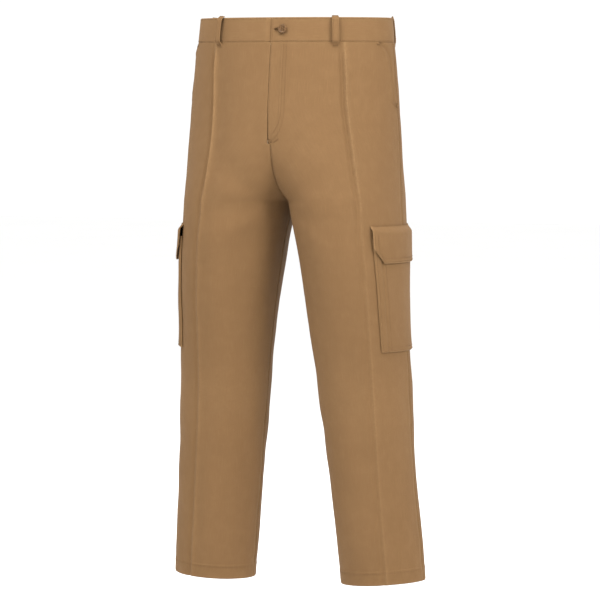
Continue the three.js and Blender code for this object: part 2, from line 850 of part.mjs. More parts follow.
// A strap that stands off the waistband between a foot at the top and a foot below the seam.
function beltLoop(angle) {
  const high = skin(angle, 0);
  const low = skin(angle, loopDrop);
  const outward = outwardAt(angle, 0);
  const up = new THREE.Vector3().subVectors(high, low).normalize();
  const across = new THREE.Vector3().crossVectors(outward, up).normalize();
  const out = new THREE.Vector3().crossVectors(up, across).normalize();
  const length = high.distanceTo(low);
  const near = outerGap;
  const far = loopStandOff + outerGap;
  const wall = loopThickness;
  const bottom = -length;
  const inside = [
    [near, bottom],
    [near, bottom + loopFoot],
    [far, bottom + loopFoot + loopShoulder],
    [far, -loopShoulder],
    [near, loopRise - wall],
    [-wall, loopRise - wall],
  ];
  const outside = [
    [-wall, loopRise],
    [near + wall, loopRise],
    [far + wall, wall / 2 - loopShoulder],
    [far + wall, bottom + loopFoot + loopShoulder - wall / 2],
    [near + wall, bottom + loopFoot - wall / 2],
    [near + wall, bottom],
  ];
  const outline = new THREE.Shape([...inside, ...outside].map(([x, y]) => new THREE.Vector2(x, y)));
  const strap = new THREE.ExtrudeGeometry(outline, { depth: loopWidth, bevelEnabled: false });
  strap.translate(0, 0, -loopWidth / 2);
  const basis = new THREE.Matrix4().makeBasis(out, up, across.clone().negate());
  basis.setPosition(high.x, high.y, high.z);
  return facingOut(welded(strap).applyMatrix4(basis));
}

// ----------------------------------------------------------------- finishes

const twill = { color: 0xa27e52, roughness: 0.92, metalness: 0 };
const pocketing = { color: 0xb8a88a, roughness: 0.95, metalness: 0 };
const lining = { color: 0xa8946f, roughness: 0.95, metalness: 0 };
const hardware = { color: 0x8d6f45, roughness: 0.45, metalness: 0 };
const brass = { color: 0xa8884a, roughness: 0.35, metalness: 0.9 };
const webbing = { color: 0x8c6d47, roughness: 1, metalness: 0 };

const trousers = new THREE.Group();

function add(name, geometry, finish) {
  const mesh = new THREE.Mesh(geometry, new THREE.MeshStandardMaterial(finish));
  mesh.name = name;
  trousers.add(mesh);
}

function addPair(name, geometry, finish) {
  add(`left_${name}`, geometry, finish);
  add(`right_${name}`, mirrored(geometry), finish);
}

add('left_front_panel', leftFront, twill);
add('right_front_panel', rightFront, twill);
addPair('back_panel', leftBack, twill);
addPair('hem_facing', hemFacing(), twill);

add('left_waistband', leftBandCut, twill);
add('right_waistband', rightBand(), twill);
add('left_waistband_lining', bandLining(underlapReach + 4), lining);
add('right_waistband_lining', mirrored(bandLining(flyEdge + underlapRamp + 2)), lining);
for (const [place, angle] of Object.entries(loopAngles)) {
  addPair(`${place}_belt_loop`, beltLoop(angle), twill);
}
add('centre_back_belt_loop', beltLoop(Math.PI), twill);

add('fly_lap', flyLap, twill);
add('fly_facing', flyFacing(), twill);
add('fly_shield', flyShield(), twill);
add('left_zip_tape', zipTape(1), webbing);
add('right_zip_tape', zipTape(-1), webbing);
add('left_zip_chain', zipChain(1), brass);
add('right_zip_chain', zipChain(-1), brass);
add('left_zip_top_stop', zipStop(chainSpread, chainBack, topStopDrop), brass);
add('right_zip_top_stop', zipStop(-chainBack, -chainSpread, topStopDrop), brass);
add('zip_bottom_stop', zipStop(-chainBack, chainBack, chainBottom + seamGap), brass);
add('zip_slider', zipSlider(), brass);
add('zip_pull', zipPull(), brass);
add('waist_button', waistButton(), hardware);
add('waist_button_thread', buttonThread(), hardware);

addPair('hand_pocket_facing', handFacing(), twill);
addPair('hand_pocket_bag', handBag(), pocketing);
addPair('rear_pocket_welt', rearWelt(), twill);
addPair('rear_pocket_bag', rearBag(), pocketing);
addPair('rear_pocket_button', rearButton(), hardware);
addPair('cargo_pocket', cargoPocket(), twill);
addPair('cargo_flap', cargoFlap(), twill);
addPair('pocket_loop_tape', closureTape(cargoDepth + outerGap), webbing);
addPair('flap_hook_tape', closureTape(cargoDepth + closureThickness + 2 * outerGap), webbing);

export default trousers;
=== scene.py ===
from functools import lru_cache
from math import asin, atan2, cos, degrees, exp, hypot, pi, radians, sin, sqrt, tan

import bmesh
import bpy
from mathutils import Matrix, Vector, noise


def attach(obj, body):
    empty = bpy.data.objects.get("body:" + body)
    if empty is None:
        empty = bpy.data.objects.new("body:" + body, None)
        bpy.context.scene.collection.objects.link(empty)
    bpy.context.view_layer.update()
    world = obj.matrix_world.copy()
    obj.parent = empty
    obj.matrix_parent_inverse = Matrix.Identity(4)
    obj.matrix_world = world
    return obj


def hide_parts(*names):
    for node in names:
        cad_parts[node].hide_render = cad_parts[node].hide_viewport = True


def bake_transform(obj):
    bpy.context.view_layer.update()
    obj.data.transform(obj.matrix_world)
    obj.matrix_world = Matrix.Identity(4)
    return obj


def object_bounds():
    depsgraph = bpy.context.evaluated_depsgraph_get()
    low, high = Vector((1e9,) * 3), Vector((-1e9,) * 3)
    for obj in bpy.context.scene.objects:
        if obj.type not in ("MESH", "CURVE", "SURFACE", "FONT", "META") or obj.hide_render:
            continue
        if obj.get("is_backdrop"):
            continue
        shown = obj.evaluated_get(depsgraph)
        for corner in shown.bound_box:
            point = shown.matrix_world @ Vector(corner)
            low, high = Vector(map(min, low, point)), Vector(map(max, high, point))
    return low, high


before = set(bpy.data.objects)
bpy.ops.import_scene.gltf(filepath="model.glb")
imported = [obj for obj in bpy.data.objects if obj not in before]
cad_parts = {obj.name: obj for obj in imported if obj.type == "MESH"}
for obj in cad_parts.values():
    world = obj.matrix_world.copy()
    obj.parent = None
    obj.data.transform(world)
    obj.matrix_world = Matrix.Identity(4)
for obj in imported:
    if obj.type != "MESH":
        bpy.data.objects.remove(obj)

bl_info = {
    "name": "Cargo work trousers",
    "version": (1, 0, 0),
    "blender": (4, 5, 0),
    "location": "3D Viewport > Sidebar > Trousers",
    "description": "Builds a pair of twill cargo work trousers piece by piece",
    "category": "Object",
}

CAD_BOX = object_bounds()
MM = 0.001

# Pattern sizes in millimetres. A "drop" is a distance down from the top edge of the waistband.
OUTSEAM = 1040
BAND = 45
CROTCH = 335
SEAT = 150
KNEE = 714
KNEE_FOLDS = 735
HEM_DEPTH = 25
RISE_SHARPNESS = 1.6
HEM_TILT = radians(3.5)
CLOTH = 1.8
BAND_CLOTH = 2.4
LINING = 1.0
SEAM_GAP = 0.08
INNER_GAP = 0.6
PANEL_TOP = BAND + SEAM_GAP

FLY_EDGE = 4
LAP_WIDTH = 21
LAP_DROP = 222
FLY_DROP = 229
FACING_REACH = 38
ZIP_X = 7
ZIP_TOP = 50
ZIP_BOTTOM = 222
CHAIN_TOP = 60
CHAIN_BOTTOM = 203
CHAIN_DEPTH = 9.4

MOUTH_TOP = radians(70)
MOUTH_DROP = 165
CARGO_FRONT = radians(47)
CARGO_BACK = radians(133)
CARGO_MOUTH = 401
CARGO_BOTTOM = 609
CARGO_DEPTH = 4.6
FLAP_DROP = 378
FLAP_HEIGHT = 68
FLAP_SIDE = 42
FLAP_CORNER = radians(10)
FLAP_INNER = 7.1
FLAP_ROUND = 100
FLAP_SEWN = 105
FLAP_LONG = 60
TAPE_TOP = 416
TAPE_FOOT = 436
TAPE_FRONT = radians(76)
TAPE_BACK = radians(104)
REAR_DROP = 98
REAR_WELT = 13
WELT_OUTER = 164
WELT_INNER = 51
LOOP_DROP = 54
SIDE_SNUG = 0.32
LAP_CLEAR = 0.12
J_TURN = 168
J_REACH = 27
TAPE_INNER = 0.8 + 2.6 + SEAM_GAP
TOOTH_PITCH = 3.0
BUTTON_RADIUS = 8.5
REAR_BUTTON_RADIUS = 7.5
EDGE_ANGLE = radians(48)
BATCH = 24
SEAM_STEP = 6.0
HEM_TURN = 5
WELD = 0.00005
SAME_POINT = 1e-6
# Painted shade: the dark colour laid into the gaps between the threads of every weave.
THREAD_GAP_SHADE = (0.09, 0.045, 0.018, 1)

# The stage, in metres and watts. Each light: name, place, target, power, size and tint.
FLOOR_LEVEL = -1.13
CAMERA_TURN = radians(20.2)
CAMERA_AWAY = 6.28
CAMERA_HEIGHT = -0.125
CAMERA_LENS = 203.2
CAMERA_AIM = (0.0068, 0.0025, -0.5217)
LIGHTS = (
    ("key", (2.6, -1.5, 1.5), (0, 0, -0.2), 105, 1.2, (1.0, 0.985, 0.96)),
    ("fill", (-2.6, -2.4, 0.6), (0, 0, -0.5), 16, 2.4, (0.98, 0.99, 1.0)),
    ("top", (-0.2, -1.3, 1.7), (0, 0, -0.1), 62, 1.3, (1.0, 1.0, 1.0)),
    ("rim", (0.6, 3.2, 1.2), (0, 0, -0.5), 40, 2.4, (1.0, 1.0, 1.0)),
)


# ---------------------------------------------------------------- settings

def size_setting(name, description, value, low, high):
    return bpy.props.FloatProperty(
        name=name, description=description, default=value, min=low, max=high, unit="LENGTH")


def colour(name, description, value):
    return bpy.props.FloatVectorProperty(
        name=name, description=description, subtype="COLOR", size=3, min=0, max=1, default=value)


class TrouserSizes(bpy.types.PropertyGroup):
    """Sizes of the sewing and of the drape of the cloth"""
    stitch_length: size_setting("Stitch length", "Length of one stitch of the topstitching", 0.0028, 0.001, 0.006)
    stitch_gap: size_setting("Stitch gap", "Gap between one stitch and the next", 0.0011, 0.0003, 0.004)
    thread_radius: size_setting("Thread radius", "Half the thickness of the thread", 0.00036, 0.0001, 0.001)
    crease_height: size_setting("Crease height", "How far a pressed crease stands out", 0.0048, 0.0, 0.008)
    fold_depth: size_setting("Fold depth", "How deep the soft folds of the legs are", 0.0042, 0.0, 0.01)
    loop_width: size_setting("Belt loop width", "Width of a belt loop", 0.0125, 0.008, 0.02)


class TrouserColours(bpy.types.PropertyGroup):
    """Colours of the cloths, the thread and the hardware"""
    twill: colour("Twill", "Main colour of the cloth", (0.152, 0.083, 0.0335))
    twill_deep: colour("Twill, deep", "Colour of the cloth where the dye lies thick", (0.130, 0.069, 0.0268))
    # The pale colour also serves as the painted highlight along the leg creases.
    twill_pale: colour("Twill, pale", "Colour of the cloth where it is worn", (0.225, 0.13, 0.057))
    lining: colour("Lining", "Colour of the band lining and facings", (0.19, 0.132, 0.073))
    pocketing: colour("Pocketing", "Colour of the pocket bags", (0.2, 0.158, 0.105))
    tape: colour("Tape", "Colour of the zip tapes", (0.12, 0.068, 0.029))
    thread: colour("Thread", "Colour of the sewing thread", (0.125, 0.066, 0.026))
    button: colour("Button", "Colour of the buttons", (0.095, 0.047, 0.016))
    brass: colour("Brass", "Colour of the zip metal", (0.66, 0.50, 0.24))
    hooks: colour("Hook tape", "Colour of the hook and loop tapes", (0.11, 0.062, 0.027))


def sizes():
    return bpy.context.scene.trouser_sizes


def colours():
    return bpy.context.scene.trouser_colours


# ------------------------------------------------------------ body surface

def lerp(a, b, t):
    return a + (b - a) * t


def clamp(x, low=0.0, high=1.0):
    return max(low, min(high, x))


def ease(x, low, high):
    t = clamp((x - low) / (high - low))
    return t * t * (3 - 2 * t)


def mound(x, centre, reach):
    return exp(-(((x - centre) / reach) ** 2))


def curve_through(points):
    """Smooth curve through (drop, value) pairs that never overshoots them."""
    chords = [(b[1] - a[1]) / (b[0] - a[0]) for a, b in zip(points, points[1:])]
    slopes = [chords[0]]
    for before, after in zip(chords, chords[1:]):
        slopes.append(0.0 if before * after <= 0 else 2 * before * after / (before + after))
    slopes.append(chords[-1])

    def value(drop):
        at = clamp(drop, points[0][0], points[-1][0])
        i = max(0, next(k for k, point in enumerate(points) if point[0] >= at) - 1)
        (from_drop, start), (to_drop, end) = points[i], points[i + 1]
        span = to_drop - from_drop
        t = (at - from_drop) / span
        rise = 3 * t * t - 2 * t ** 3
        bend = t * (1 - t) ** 2 * span * slopes[i] - t * t * (1 - t) * span * slopes[i + 1]
        return start + (end - start) * rise + bend
    return value


outer_x = curve_through([(0, 184), (200, 202), (335, 208), (430, 213), (714, 221), (1040, 241)])
inner_x = curve_through([(335, 0), (430, 20), (714, 57), (1040, 90)])
half_depth = curve_through([(0, 116), (200, 134), (335, 132), (430, 124), (714, 90), (1040, 75.5)])
forward = curve_through([(0, 0), (200, 7), (335, 14), (430, 20), (714, 8), (1040, -8)])
mouth_line = curve_through([(45, 70), (58, 75.5), (76, 80), (100, 81.2), (150, 82), (MOUTH_DROP, 89.9)])
crease_left = curve_through([(0, 42), (150, 43), (320, 38), (503, 36), (942, 28), (1040, 27)])
crease_right = curve_through([(0, 41), (150, 37), (374, 14), (700, 13), (1040, 14)])


@lru_cache(maxsize=None)
def crease(side, drop):
    return radians((crease_left if side > 0 else crease_right)(drop))


@lru_cache(maxsize=None)
def back_crease(drop):
    return pi - radians(lerp(40, 18, ease(drop, 150, 420)))


@lru_cache(maxsize=None)
def set_out(drop):
    """Lean of the hem and the eased shares that the folds use at a drop."""
    lean = ease(drop, KNEE, OUTSEAM) * tan(HEM_TILT)
    return (lean, 0.12 + 0.88 * ease(drop, 46, 84), ease(drop, 300, 470), ease(drop, 760, 1040),
            ease(drop, 230, 420), ease(drop, 520, 700))


@lru_cache(maxsize=None)
def section(drop):
    """Centre x, half width, half depth and centre y of the left half of the body at a drop."""
    outer, depth, centre_y = outer_x(drop), half_depth(drop), -forward(drop)
    if drop >= CROTCH:
        inner = inner_x(drop)
        return (outer + inner) / 2, (outer - inner) / 2, depth, centre_y
    turn = clamp((drop - SEAT) / (CROTCH - SEAT)) ** RISE_SHARPNESS
    width = outer / (1 + turn)
    return outer - width, width, depth, centre_y


@lru_cache(maxsize=None)
def angle_at(x, drop):
    centre, width, _, _ = section(drop)
    return asin(clamp((x - centre) / width, -1, 1))


@lru_cache(maxsize=None)
def half_gap(drop):
    return SEAM_GAP / 2 / section(drop)[2]


def folds(side, angle, drop, x, width, depth):
    """How far the cloth hangs off the plain body surface, in millimetres."""
    around = Vector((cos(angle), sin(angle), 0))
    seed = Vector((3.1, 7.7, 0)) if side > 0 else Vector((11.3, 2.9, 0))
    _, below_band, leg, near_hem, low, flare = set_out(drop)
    free = ease(x, 2, 46) * below_band
    deep = sizes().fold_depth / MM
    soft = noise.noise(around * 1.25 + seed + Vector((0, 0, drop / 230))) * deep * (0.45 + 0.55 * leg)
    cross = noise.noise(around * 2.4 + seed * 2 + Vector((0, 0, drop / 62))) * deep * 0.34
    fine = noise.noise(around * 6 + seed * 3 + Vector((0, 0, drop / 24))) * 0.32
    breaks = 1.5 * sin(3 * angle + (0.6 if side > 0 else 2.0)) * near_hem

    # Drag lines fan out of the crotch, front and back.
    across = x - 4
    down = drop - (CROTCH + 10)
    reach = hypot(across, down * 0.8)
    turn = atan2(-down, across + 1)
    fan = sin(turn * 7.5 + side * 0.8) * mound(reach, 84, 46) * (1.5 if cos(angle) > 0 else 2.1)
    knee = sin(drop / 17 + 2.2 * sin(angle * 1.5)) * mound(drop, KNEE_FOLDS, 70)
    knee *= 0.35 - 0.65 * min(0, cos(angle))

    # Pressed creases: a sharp ridge with flattened cloth beside it.
    middle = crease(side, drop)
    radius = hypot(width * cos(middle), depth * sin(middle))
    away = (angle - middle) * radius
    strong = lerp(1.0, 0.42, low)
    high = sizes().crease_height / MM * strong
    ridge = high * exp(-abs(away) / 5.5) - 0.5 * high * mound(away, 0, 26)
    ridge -= 0.95 * high * mound(away, -7 * side, 3.8)
    back_away = (angle - back_crease(drop)) * radius
    ridge += (0.8 * exp(-abs(back_away) / 6) - 0.3 * mound(back_away, 0, 30)) * high * 0.7

    spread = 5.5 * flare + 2.5 * mound(drop, 420, 120) if side > 0 else -4.5 * mound(drop, 430, 230)
    spread *= mound(degrees(angle), 88, 42)
    return free * (soft + cross + fine + fan + knee + ridge) + breaks * leg + spread


def on_body(side, angle, drop, lift=0.0):
    """Point of the cloth in metres. Angle 0 is the front, 90 degrees the side, 180 the back."""
    centre, width, depth, centre_y = section(drop)
    nx, ny = sin(angle) / width, -cos(angle) / depth
    long = hypot(nx, ny)
    x = centre + width * sin(angle)
    out = lift + folds(side, angle, drop, x, width, depth)
    # Beside the centre seam the outer face keeps its place across, so the two halves meet.
    px = x + nx / long * lerp(min(0.0, out + 0.9), out, ease(x, 0, 8))
    py = centre_y - depth * cos(angle) + ny / long * out
    lean = set_out(drop)[0]
    return Vector((side * px, py, -drop + lean * (px - centre))) * MM


def outward(side, angle, drop):
    step = radians(1)
    round_it = on_body(1, angle + step, drop) - on_body(1, angle - step, drop)
    up = on_body(1, angle, drop - 2) - on_body(1, angle, drop + 2)
    direction = round_it.cross(up).normalized()
    return Vector((side * direction.x, direction.y, direction.z))


@lru_cache(maxsize=None)
def girth(drop):
    _, width, depth, _ = section(drop)
    return (width + depth) / 2


# ------------------------------------------------------------ mesh helpers

def levels(start, end, step, dense=()):
    """Drops from start to end at about a step, with finer steps inside each dense band."""
    drops = [start]
    while drops[-1] < end - 0.05:
        here = drops[-1]
        fine = [band[2] for band in dense if band[0] - 0.01 <= here < band[1]]
        ahead = [band[0] for band in dense if band[0] > here + 0.01]
        nearest = min([end, here + (fine[0] if fine else step)] + ahead)
        drops.append(nearest)
    return drops


def crowd(u, share=0.72):
    """Brings the columns of a sheet closer together at both of its edges."""
    return u - share * sin(2 * pi * u) / (2 * pi)


def grid_sheet(columns, rows, place, uv=None, fade=None, flip=False):
    """A sheet from a grid: place, uv and fade are functions of a column and a row number."""
    bm = bmesh.new()
    bmesh.ops.create_grid(bm, x_segments=columns, y_segments=rows, size=0.5)
    fade_layer = bm.verts.layers.float.new("fade")
    where = {}
    for vert in bm.verts:
        column, row = round((vert.co.x + 0.5) * columns), round((0.5 - vert.co.y) * rows)
        where[vert] = (column, row)
    for vert, (column, row) in where.items():
        vert.co = place(column, row)
        vert[fade_layer] = fade(column, row) if fade else 0.0
    layer = bm.loops.layers.uv.new("cloth")
    for face in bm.faces:
        face.smooth = True
        for loop in face.loops:
            loop[layer].uv = uv(*where[loop.vert]) if uv else where[loop.vert]
    if flip:
        bmesh.ops.reverse_faces(bm, faces=bm.faces[:])
    return bm


def add_object(name, data):
    item = bpy.data.objects.new(name, data)
    bpy.context.scene.collection.objects.link(item)
    return item


def new_piece(name, bm, material, wall=0.0, round_edge=0.0):
    mesh = bpy.data.meshes.new(name)
    bm.to_mesh(mesh)
    bm.free()
    mesh.materials.append(finish(material))
    piece = add_object(name, mesh)
    if wall:
        solid = piece.modifiers.new("Wall", "SOLIDIFY")
        solid.thickness = wall * MM
        solid.offset = -1.0
    if round_edge:
        edge = piece.modifiers.new("Rounded edge", "BEVEL")
        edge.width = round_edge * MM
        edge.segments = 2
        edge.limit_method = "ANGLE"
        edge.angle_limit = EDGE_ANGLE
    return piece


def settled(piece):
    """Applies a piece's modifiers, so that its mesh is final."""
    graph = bpy.context.evaluated_depsgraph_get()
    final = bpy.data.meshes.new_from_object(piece.evaluated_get(graph))
    piece.modifiers.clear()
    piece.data = final
    return piece


def belongs(piece, body, slot, *nodes):
    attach(piece, body)
    if nodes:
        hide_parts(*nodes)
    return piece


def laid(piece, slot, node, flat, held, rests_on, **more):
    """A sheet of cloth that rides on the trousers in place of its CAD node."""
    belongs(piece, "trousers", slot, node)


def blended(piece, body, start, end, node, flat, rests_on, **more):
    """A draped sheet with its modifiers applied and its transform baked, shown in place of its CAD node."""
    settled(piece)
    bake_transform(piece)
    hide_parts(node)


def turned(profile, steps, place):
    """A closed shape turned round +Z from (radius, height) points, then put in its place."""
    bm = bmesh.new()
    ring = [bm.verts.new((radius * MM, 0, height * MM)) for radius, height in profile]
    edges = [bm.edges.new(pair) for pair in zip(ring, ring[1:])]
    bmesh.ops.spin(bm, geom=ring + edges, cent=(0, 0, 0), axis=(0, 0, 1), dvec=(0, 0, 0), angle=2 * pi,
                   steps=steps, use_merge=True, use_duplicate=False)
    bmesh.ops.remove_doubles(bm, verts=bm.verts[:], dist=SAME_POINT)
    bmesh.ops.recalc_face_normals(bm, faces=bm.faces[:])
    for face in bm.faces:
        face.smooth = True
    bmesh.ops.transform(bm, matrix=place, verts=bm.verts[:])
    return bm


def cloth_patch(name, side, drops, columns, start, end, material, wall,
                lift=lambda a, d, u: 0.0, fade=None, round_edge=0.0, edge_crowd=0.0, middle=None):
    """A sheet of cloth on the body between two edge angles, each a function of the drop.

    middle, where given, is the angle that the middle column keeps to, and columns crowd there too.
    """
    def at(column, row):
        drop = drops[row]
        if not middle:
            u = crowd(column / columns, edge_crowd)
            return lerp(start(drop), end(drop), u), drop, u
        first, last, kept = start(drop), end(drop), middle(drop)
        half = columns // 2
        if column <= half:
            angle = lerp(first, kept, crowd(column / half, edge_crowd))
        else:
            angle = lerp(kept, last, crowd((column - half) / (columns - half), edge_crowd))
        return angle, drop, (angle - first) / (last - first)

    def place(column, row):
        angle, drop, u = at(column, row)
        return on_body(side, angle, drop, lift(angle, drop, u))

    def uv(column, row):
        angle, drop, _ = at(column, row)
        return angle * girth(drop) * MM, -drop * MM

    def worn(column, row):
        return fade(*at(column, row))

    bm = grid_sheet(columns, len(drops) - 1, place, uv, worn if fade else None, side < 0)
    return new_piece(name, bm, material, wall, round_edge=round_edge)


# ----------------------------------------------------------------- sewing

def along(line, pitch):
    """Points and directions at even distances along a line of points."""
    marks, travelled, due = [], 0.0, pitch / 2
    for a, b in zip(line, line[1:]):
        span = (b - a).length
        while span > 1e-9 and travelled + span >= due:
            t = (due - travelled) / span
            marks.append((a.lerp(b, t), (b - a).normalized()))
            due += pitch
        travelled += span
    return marks


def running(line):
    """Topstitching along a line: the place, direction and length of each stitch."""
    length = sizes().stitch_length
    return [(point, direction, length) for point, direction in along(line, length + sizes().stitch_gap)]


def bartack(start, end, across, wide=2.4):
    """A short bar of close stitches set across the line from start to end."""
    return [(point, across.normalized(), wide * MM) for point, _ in along([start, end], 0.62 * MM)]


def sew(name, body, *runs):
    """One piece of thread made of every stitch in the runs, joined in small batches for speed."""
    whole = bmesh.new()
    radius = sizes().thread_radius
    stitches = [stitch for run in runs for stitch in run]
    for first in range(0, len(stitches), BATCH):
        part = bmesh.new()
        for point, direction, length in stitches[first:first + BATCH]:
            turn = direction.to_track_quat("X", "Z").to_matrix().to_4x4()
            shape = Matrix.Diagonal((length / 2, radius, radius, 1))
            bmesh.ops.create_uvsphere(part, u_segments=5, v_segments=4, radius=1,
                                      matrix=Matrix.Translation(point) @ turn @ shape)
        mesh = bpy.data.meshes.new("run")
        part.to_mesh(mesh)
        part.free()
        whole.from_mesh(mesh)
        bpy.data.meshes.remove(mesh)
    for face in whole.faces:
        face.smooth = True
    return belongs(new_piece(name, whole, "thread"), body, "sewing_thread")


def body_line(side, start, end, lift=0.25, count=60):
    """A line of points on the cloth between two (angle, drop) pairs."""
    shares = [i / count for i in range(count + 1)]
    return [on_body(side, lerp(start[0], end[0], t), lerp(start[1], end[1], t), lift) for t in shares]


def traced(side, route, lift=0.25):
    """A line of points on the cloth through a list of (angle, drop) pairs."""
    return [on_body(side, angle, drop, lift) for angle, drop in route]


# --------------------------------------------------------------- finishes

def connect(tree, inputs, links):
    """Sets inputs from (name or number, value or output socket) pairs."""
    for socket, value in links:
        if isinstance(value, bpy.types.NodeSocket):
            tree.links.new(value, inputs[socket])
        else:
            inputs[socket].default_value = value


def wire(tree, kind, *links, **settings):
    """Adds a node with its links and settings, and gives its outputs."""
    made = tree.nodes.new("ShaderNode" + kind)
    for key, value in settings.items():
        setattr(made, key, value)
    connect(tree, made.inputs, links)
    return made.outputs


def calc(tree, operation, a, b=0.0, c=0.0):
    return wire(tree, "Math", (0, a), (1, b), (2, c), operation=operation)[0]


def blend_colour(tree, share, a, b):
    return wire(tree, "Mix", (0, share), (6, a), (7, b), data_type="RGBA", blend_type="MIX")[2]


def clouds(tree, vector, scale, detail, *more):
    return wire(tree, "TexNoise", ("Vector", vector), ("Scale", scale), ("Detail", detail), *more)[0]


def stretch(tree, vector, by):
    return wire(tree, "VectorMath", (0, vector), (1, by), operation="MULTIPLY")[0]


def remap(tree, value, *ends):
    """Moves a value from the range of the first two ends to that of the last two."""
    return wire(tree, "MapRange", (0, value), *enumerate(ends, 1))[0]


def bump(tree, strength, distance, height, *more):
    return wire(tree, "Bump", ("Strength", strength), ("Distance", distance), ("Height", height), *more)[0]


def shared(name, inputs, outputs):
    """Turns a function that fills in a node group into one that builds the group only once."""
    def wrap(fill):
        def found():
            tree = bpy.data.node_groups.get(name)
            if tree:
                return tree
            tree = bpy.data.node_groups.new(name, "ShaderNodeTree")
            for label, kind, value in inputs:
                socket = tree.interface.new_socket(label, in_out="INPUT", socket_type="NodeSocket" + kind)
                if value is not None:
                    socket.default_value = value
            for label, kind in outputs:
                tree.interface.new_socket(label, in_out="OUTPUT", socket_type="NodeSocket" + kind)
            results = fill(tree, tree.nodes.new("NodeGroupInput").outputs)
            connect(tree, tree.nodes.new("NodeGroupOutput").inputs, enumerate(results))
            return tree
        return found
    return wrap


@shared("Twill weave", [("Vector", "Vector", None), ("Ribs", "Float", 900.0)],
        [("Height", "Float"), ("Thread", "Float")])
def weave_group(tree, given):
    """Diagonal twill rib with the yarns that cross it."""
    jitter = clouds(tree, given["Vector"], 160.0, 2.0)
    parts = wire(tree, "SeparateXYZ", (0, given["Vector"]))
    turns = calc(tree, "MULTIPLY", calc(tree, "ADD", parts[0], parts[1]), given["Ribs"])
    turns = calc(tree, "MULTIPLY_ADD", jitter, 0.9, turns)
    rib = calc(tree, "MULTIPLY_ADD", calc(tree, "SINE", calc(tree, "MULTIPLY", turns, 2 * pi)), 0.5, 0.5)
    steps = calc(tree, "MULTIPLY", parts[1], given["Ribs"])
    yarn = calc(tree, "SINE", calc(tree, "MULTIPLY", steps, 4 * pi))
    height = calc(tree, "MULTIPLY", rib, calc(tree, "MULTIPLY_ADD", yarn, 0.16, 0.84))
    return height, calc(tree, "POWER", height, 0.7)


@shared("Plain weave", [("Vector", "Vector", None), ("Threads", "Float", 1100.0)],
        [("Height", "Float"), ("Thread", "Float")])
def plain_group(tree, given):
    """Plain over-and-under weave."""
    waves = []
    for part in wire(tree, "SeparateXYZ", (0, given["Vector"]))[:2]:
        turns = calc(tree, "MULTIPLY", calc(tree, "MULTIPLY", part, given["Threads"]), 2 * pi)
        waves.append(calc(tree, "SINE", turns))
    height = calc(tree, "MULTIPLY_ADD", calc(tree, "MULTIPLY", waves[0], waves[1]), 0.5, 0.5)
    return height, height


@shared("Dye and wear",
        [("Vector", "Vector", None), ("Cloth", "Vector", None), ("Base", "Color", (0.4, 0.2, 0.1, 1)),
         ("Deep", "Color", (0.3, 0.15, 0.07, 1)), ("Pale", "Color", (0.5, 0.3, 0.15, 1)),
         ("Wear", "Float", 0.0), ("Thread", "Float", 0.5), ("Weave contrast", "Float", 0.25)],
        [("Color", "Color"), ("Roughness", "Float")])
def dye_wear_and_shade_group(tree, given):
    """Uneven dye, slubs in the yarn, pale wear (partly a painted highlight along the leg creases) and painted
    shade in the gaps between the threads.
    """
    vector, pale = given["Vector"], given["Pale"]
    broad = remap(tree, clouds(tree, vector, 4.2, 3.0), 0.35, 0.7, 0.0, 0.45)
    shade = blend_colour(tree, broad, given["Base"], given["Deep"])
    mottle = remap(tree, clouds(tree, vector, 55.0, 4.0), 0.45, 0.75, 0.0, 0.12)
    shade = blend_colour(tree, mottle, shade, pale)
    slub = clouds(tree, stretch(tree, given["Cloth"], (1500.0, 36.0, 1.0)), 1.0, 1.0)
    shade = blend_colour(tree, remap(tree, slub, 0.52, 0.8, 0.0, 0.3), shade, pale)
    scuff = remap(tree, clouds(tree, vector, 260.0, 2.0), 0.3, 0.7, 0.35, 1.0)
    shade = blend_colour(tree, calc(tree, "MULTIPLY", given["Wear"], scuff), shade, pale)
    # Painted shade: the colour darkens where the threads lie low, in the gaps between them.
    thread_gap_shade = calc(tree, "SUBTRACT", 1.0, given["Thread"])
    thread_gap_shade = calc(tree, "MULTIPLY", thread_gap_shade, given["Weave contrast"])
    shade = blend_colour(tree, thread_gap_shade, shade, THREAD_GAP_SHADE)
    return shade, calc(tree, "MULTIPLY_ADD", mottle, -0.25, 0.9)


@shared("Scratches", [("Vector", "Vector", None), ("Low", "Float", 0.25), ("High", "Float", 0.5)],
        [("Roughness", "Float"), ("Height", "Float")])
def scratch_group(tree, given):
    """Fine scratches and dull patches for metal and plastic."""
    fine = clouds(tree, stretch(tree, given["Vector"], (300.0, 300.0, 2600.0)), 1.0, 3.0)
    share = calc(tree, "MULTIPLY", fine, clouds(tree, given["Vector"], 420.0, 3.0))
    return remap(tree, share, 0.1, 0.45, given["Low"], given["High"]), fine


def start_material(name):
    """A new material with its node tree, its shader's inputs and the Object coordinates."""
    material = bpy.data.materials.new(name)
    material.use_nodes = True
    tree = material.node_tree
    return material, tree, tree.nodes["Principled BSDF"].inputs, wire(tree, "TexCoord")["Object"]


def rgba(value, share=1.0):
    return (*[min(1, x * share) for x in value], 1.0)


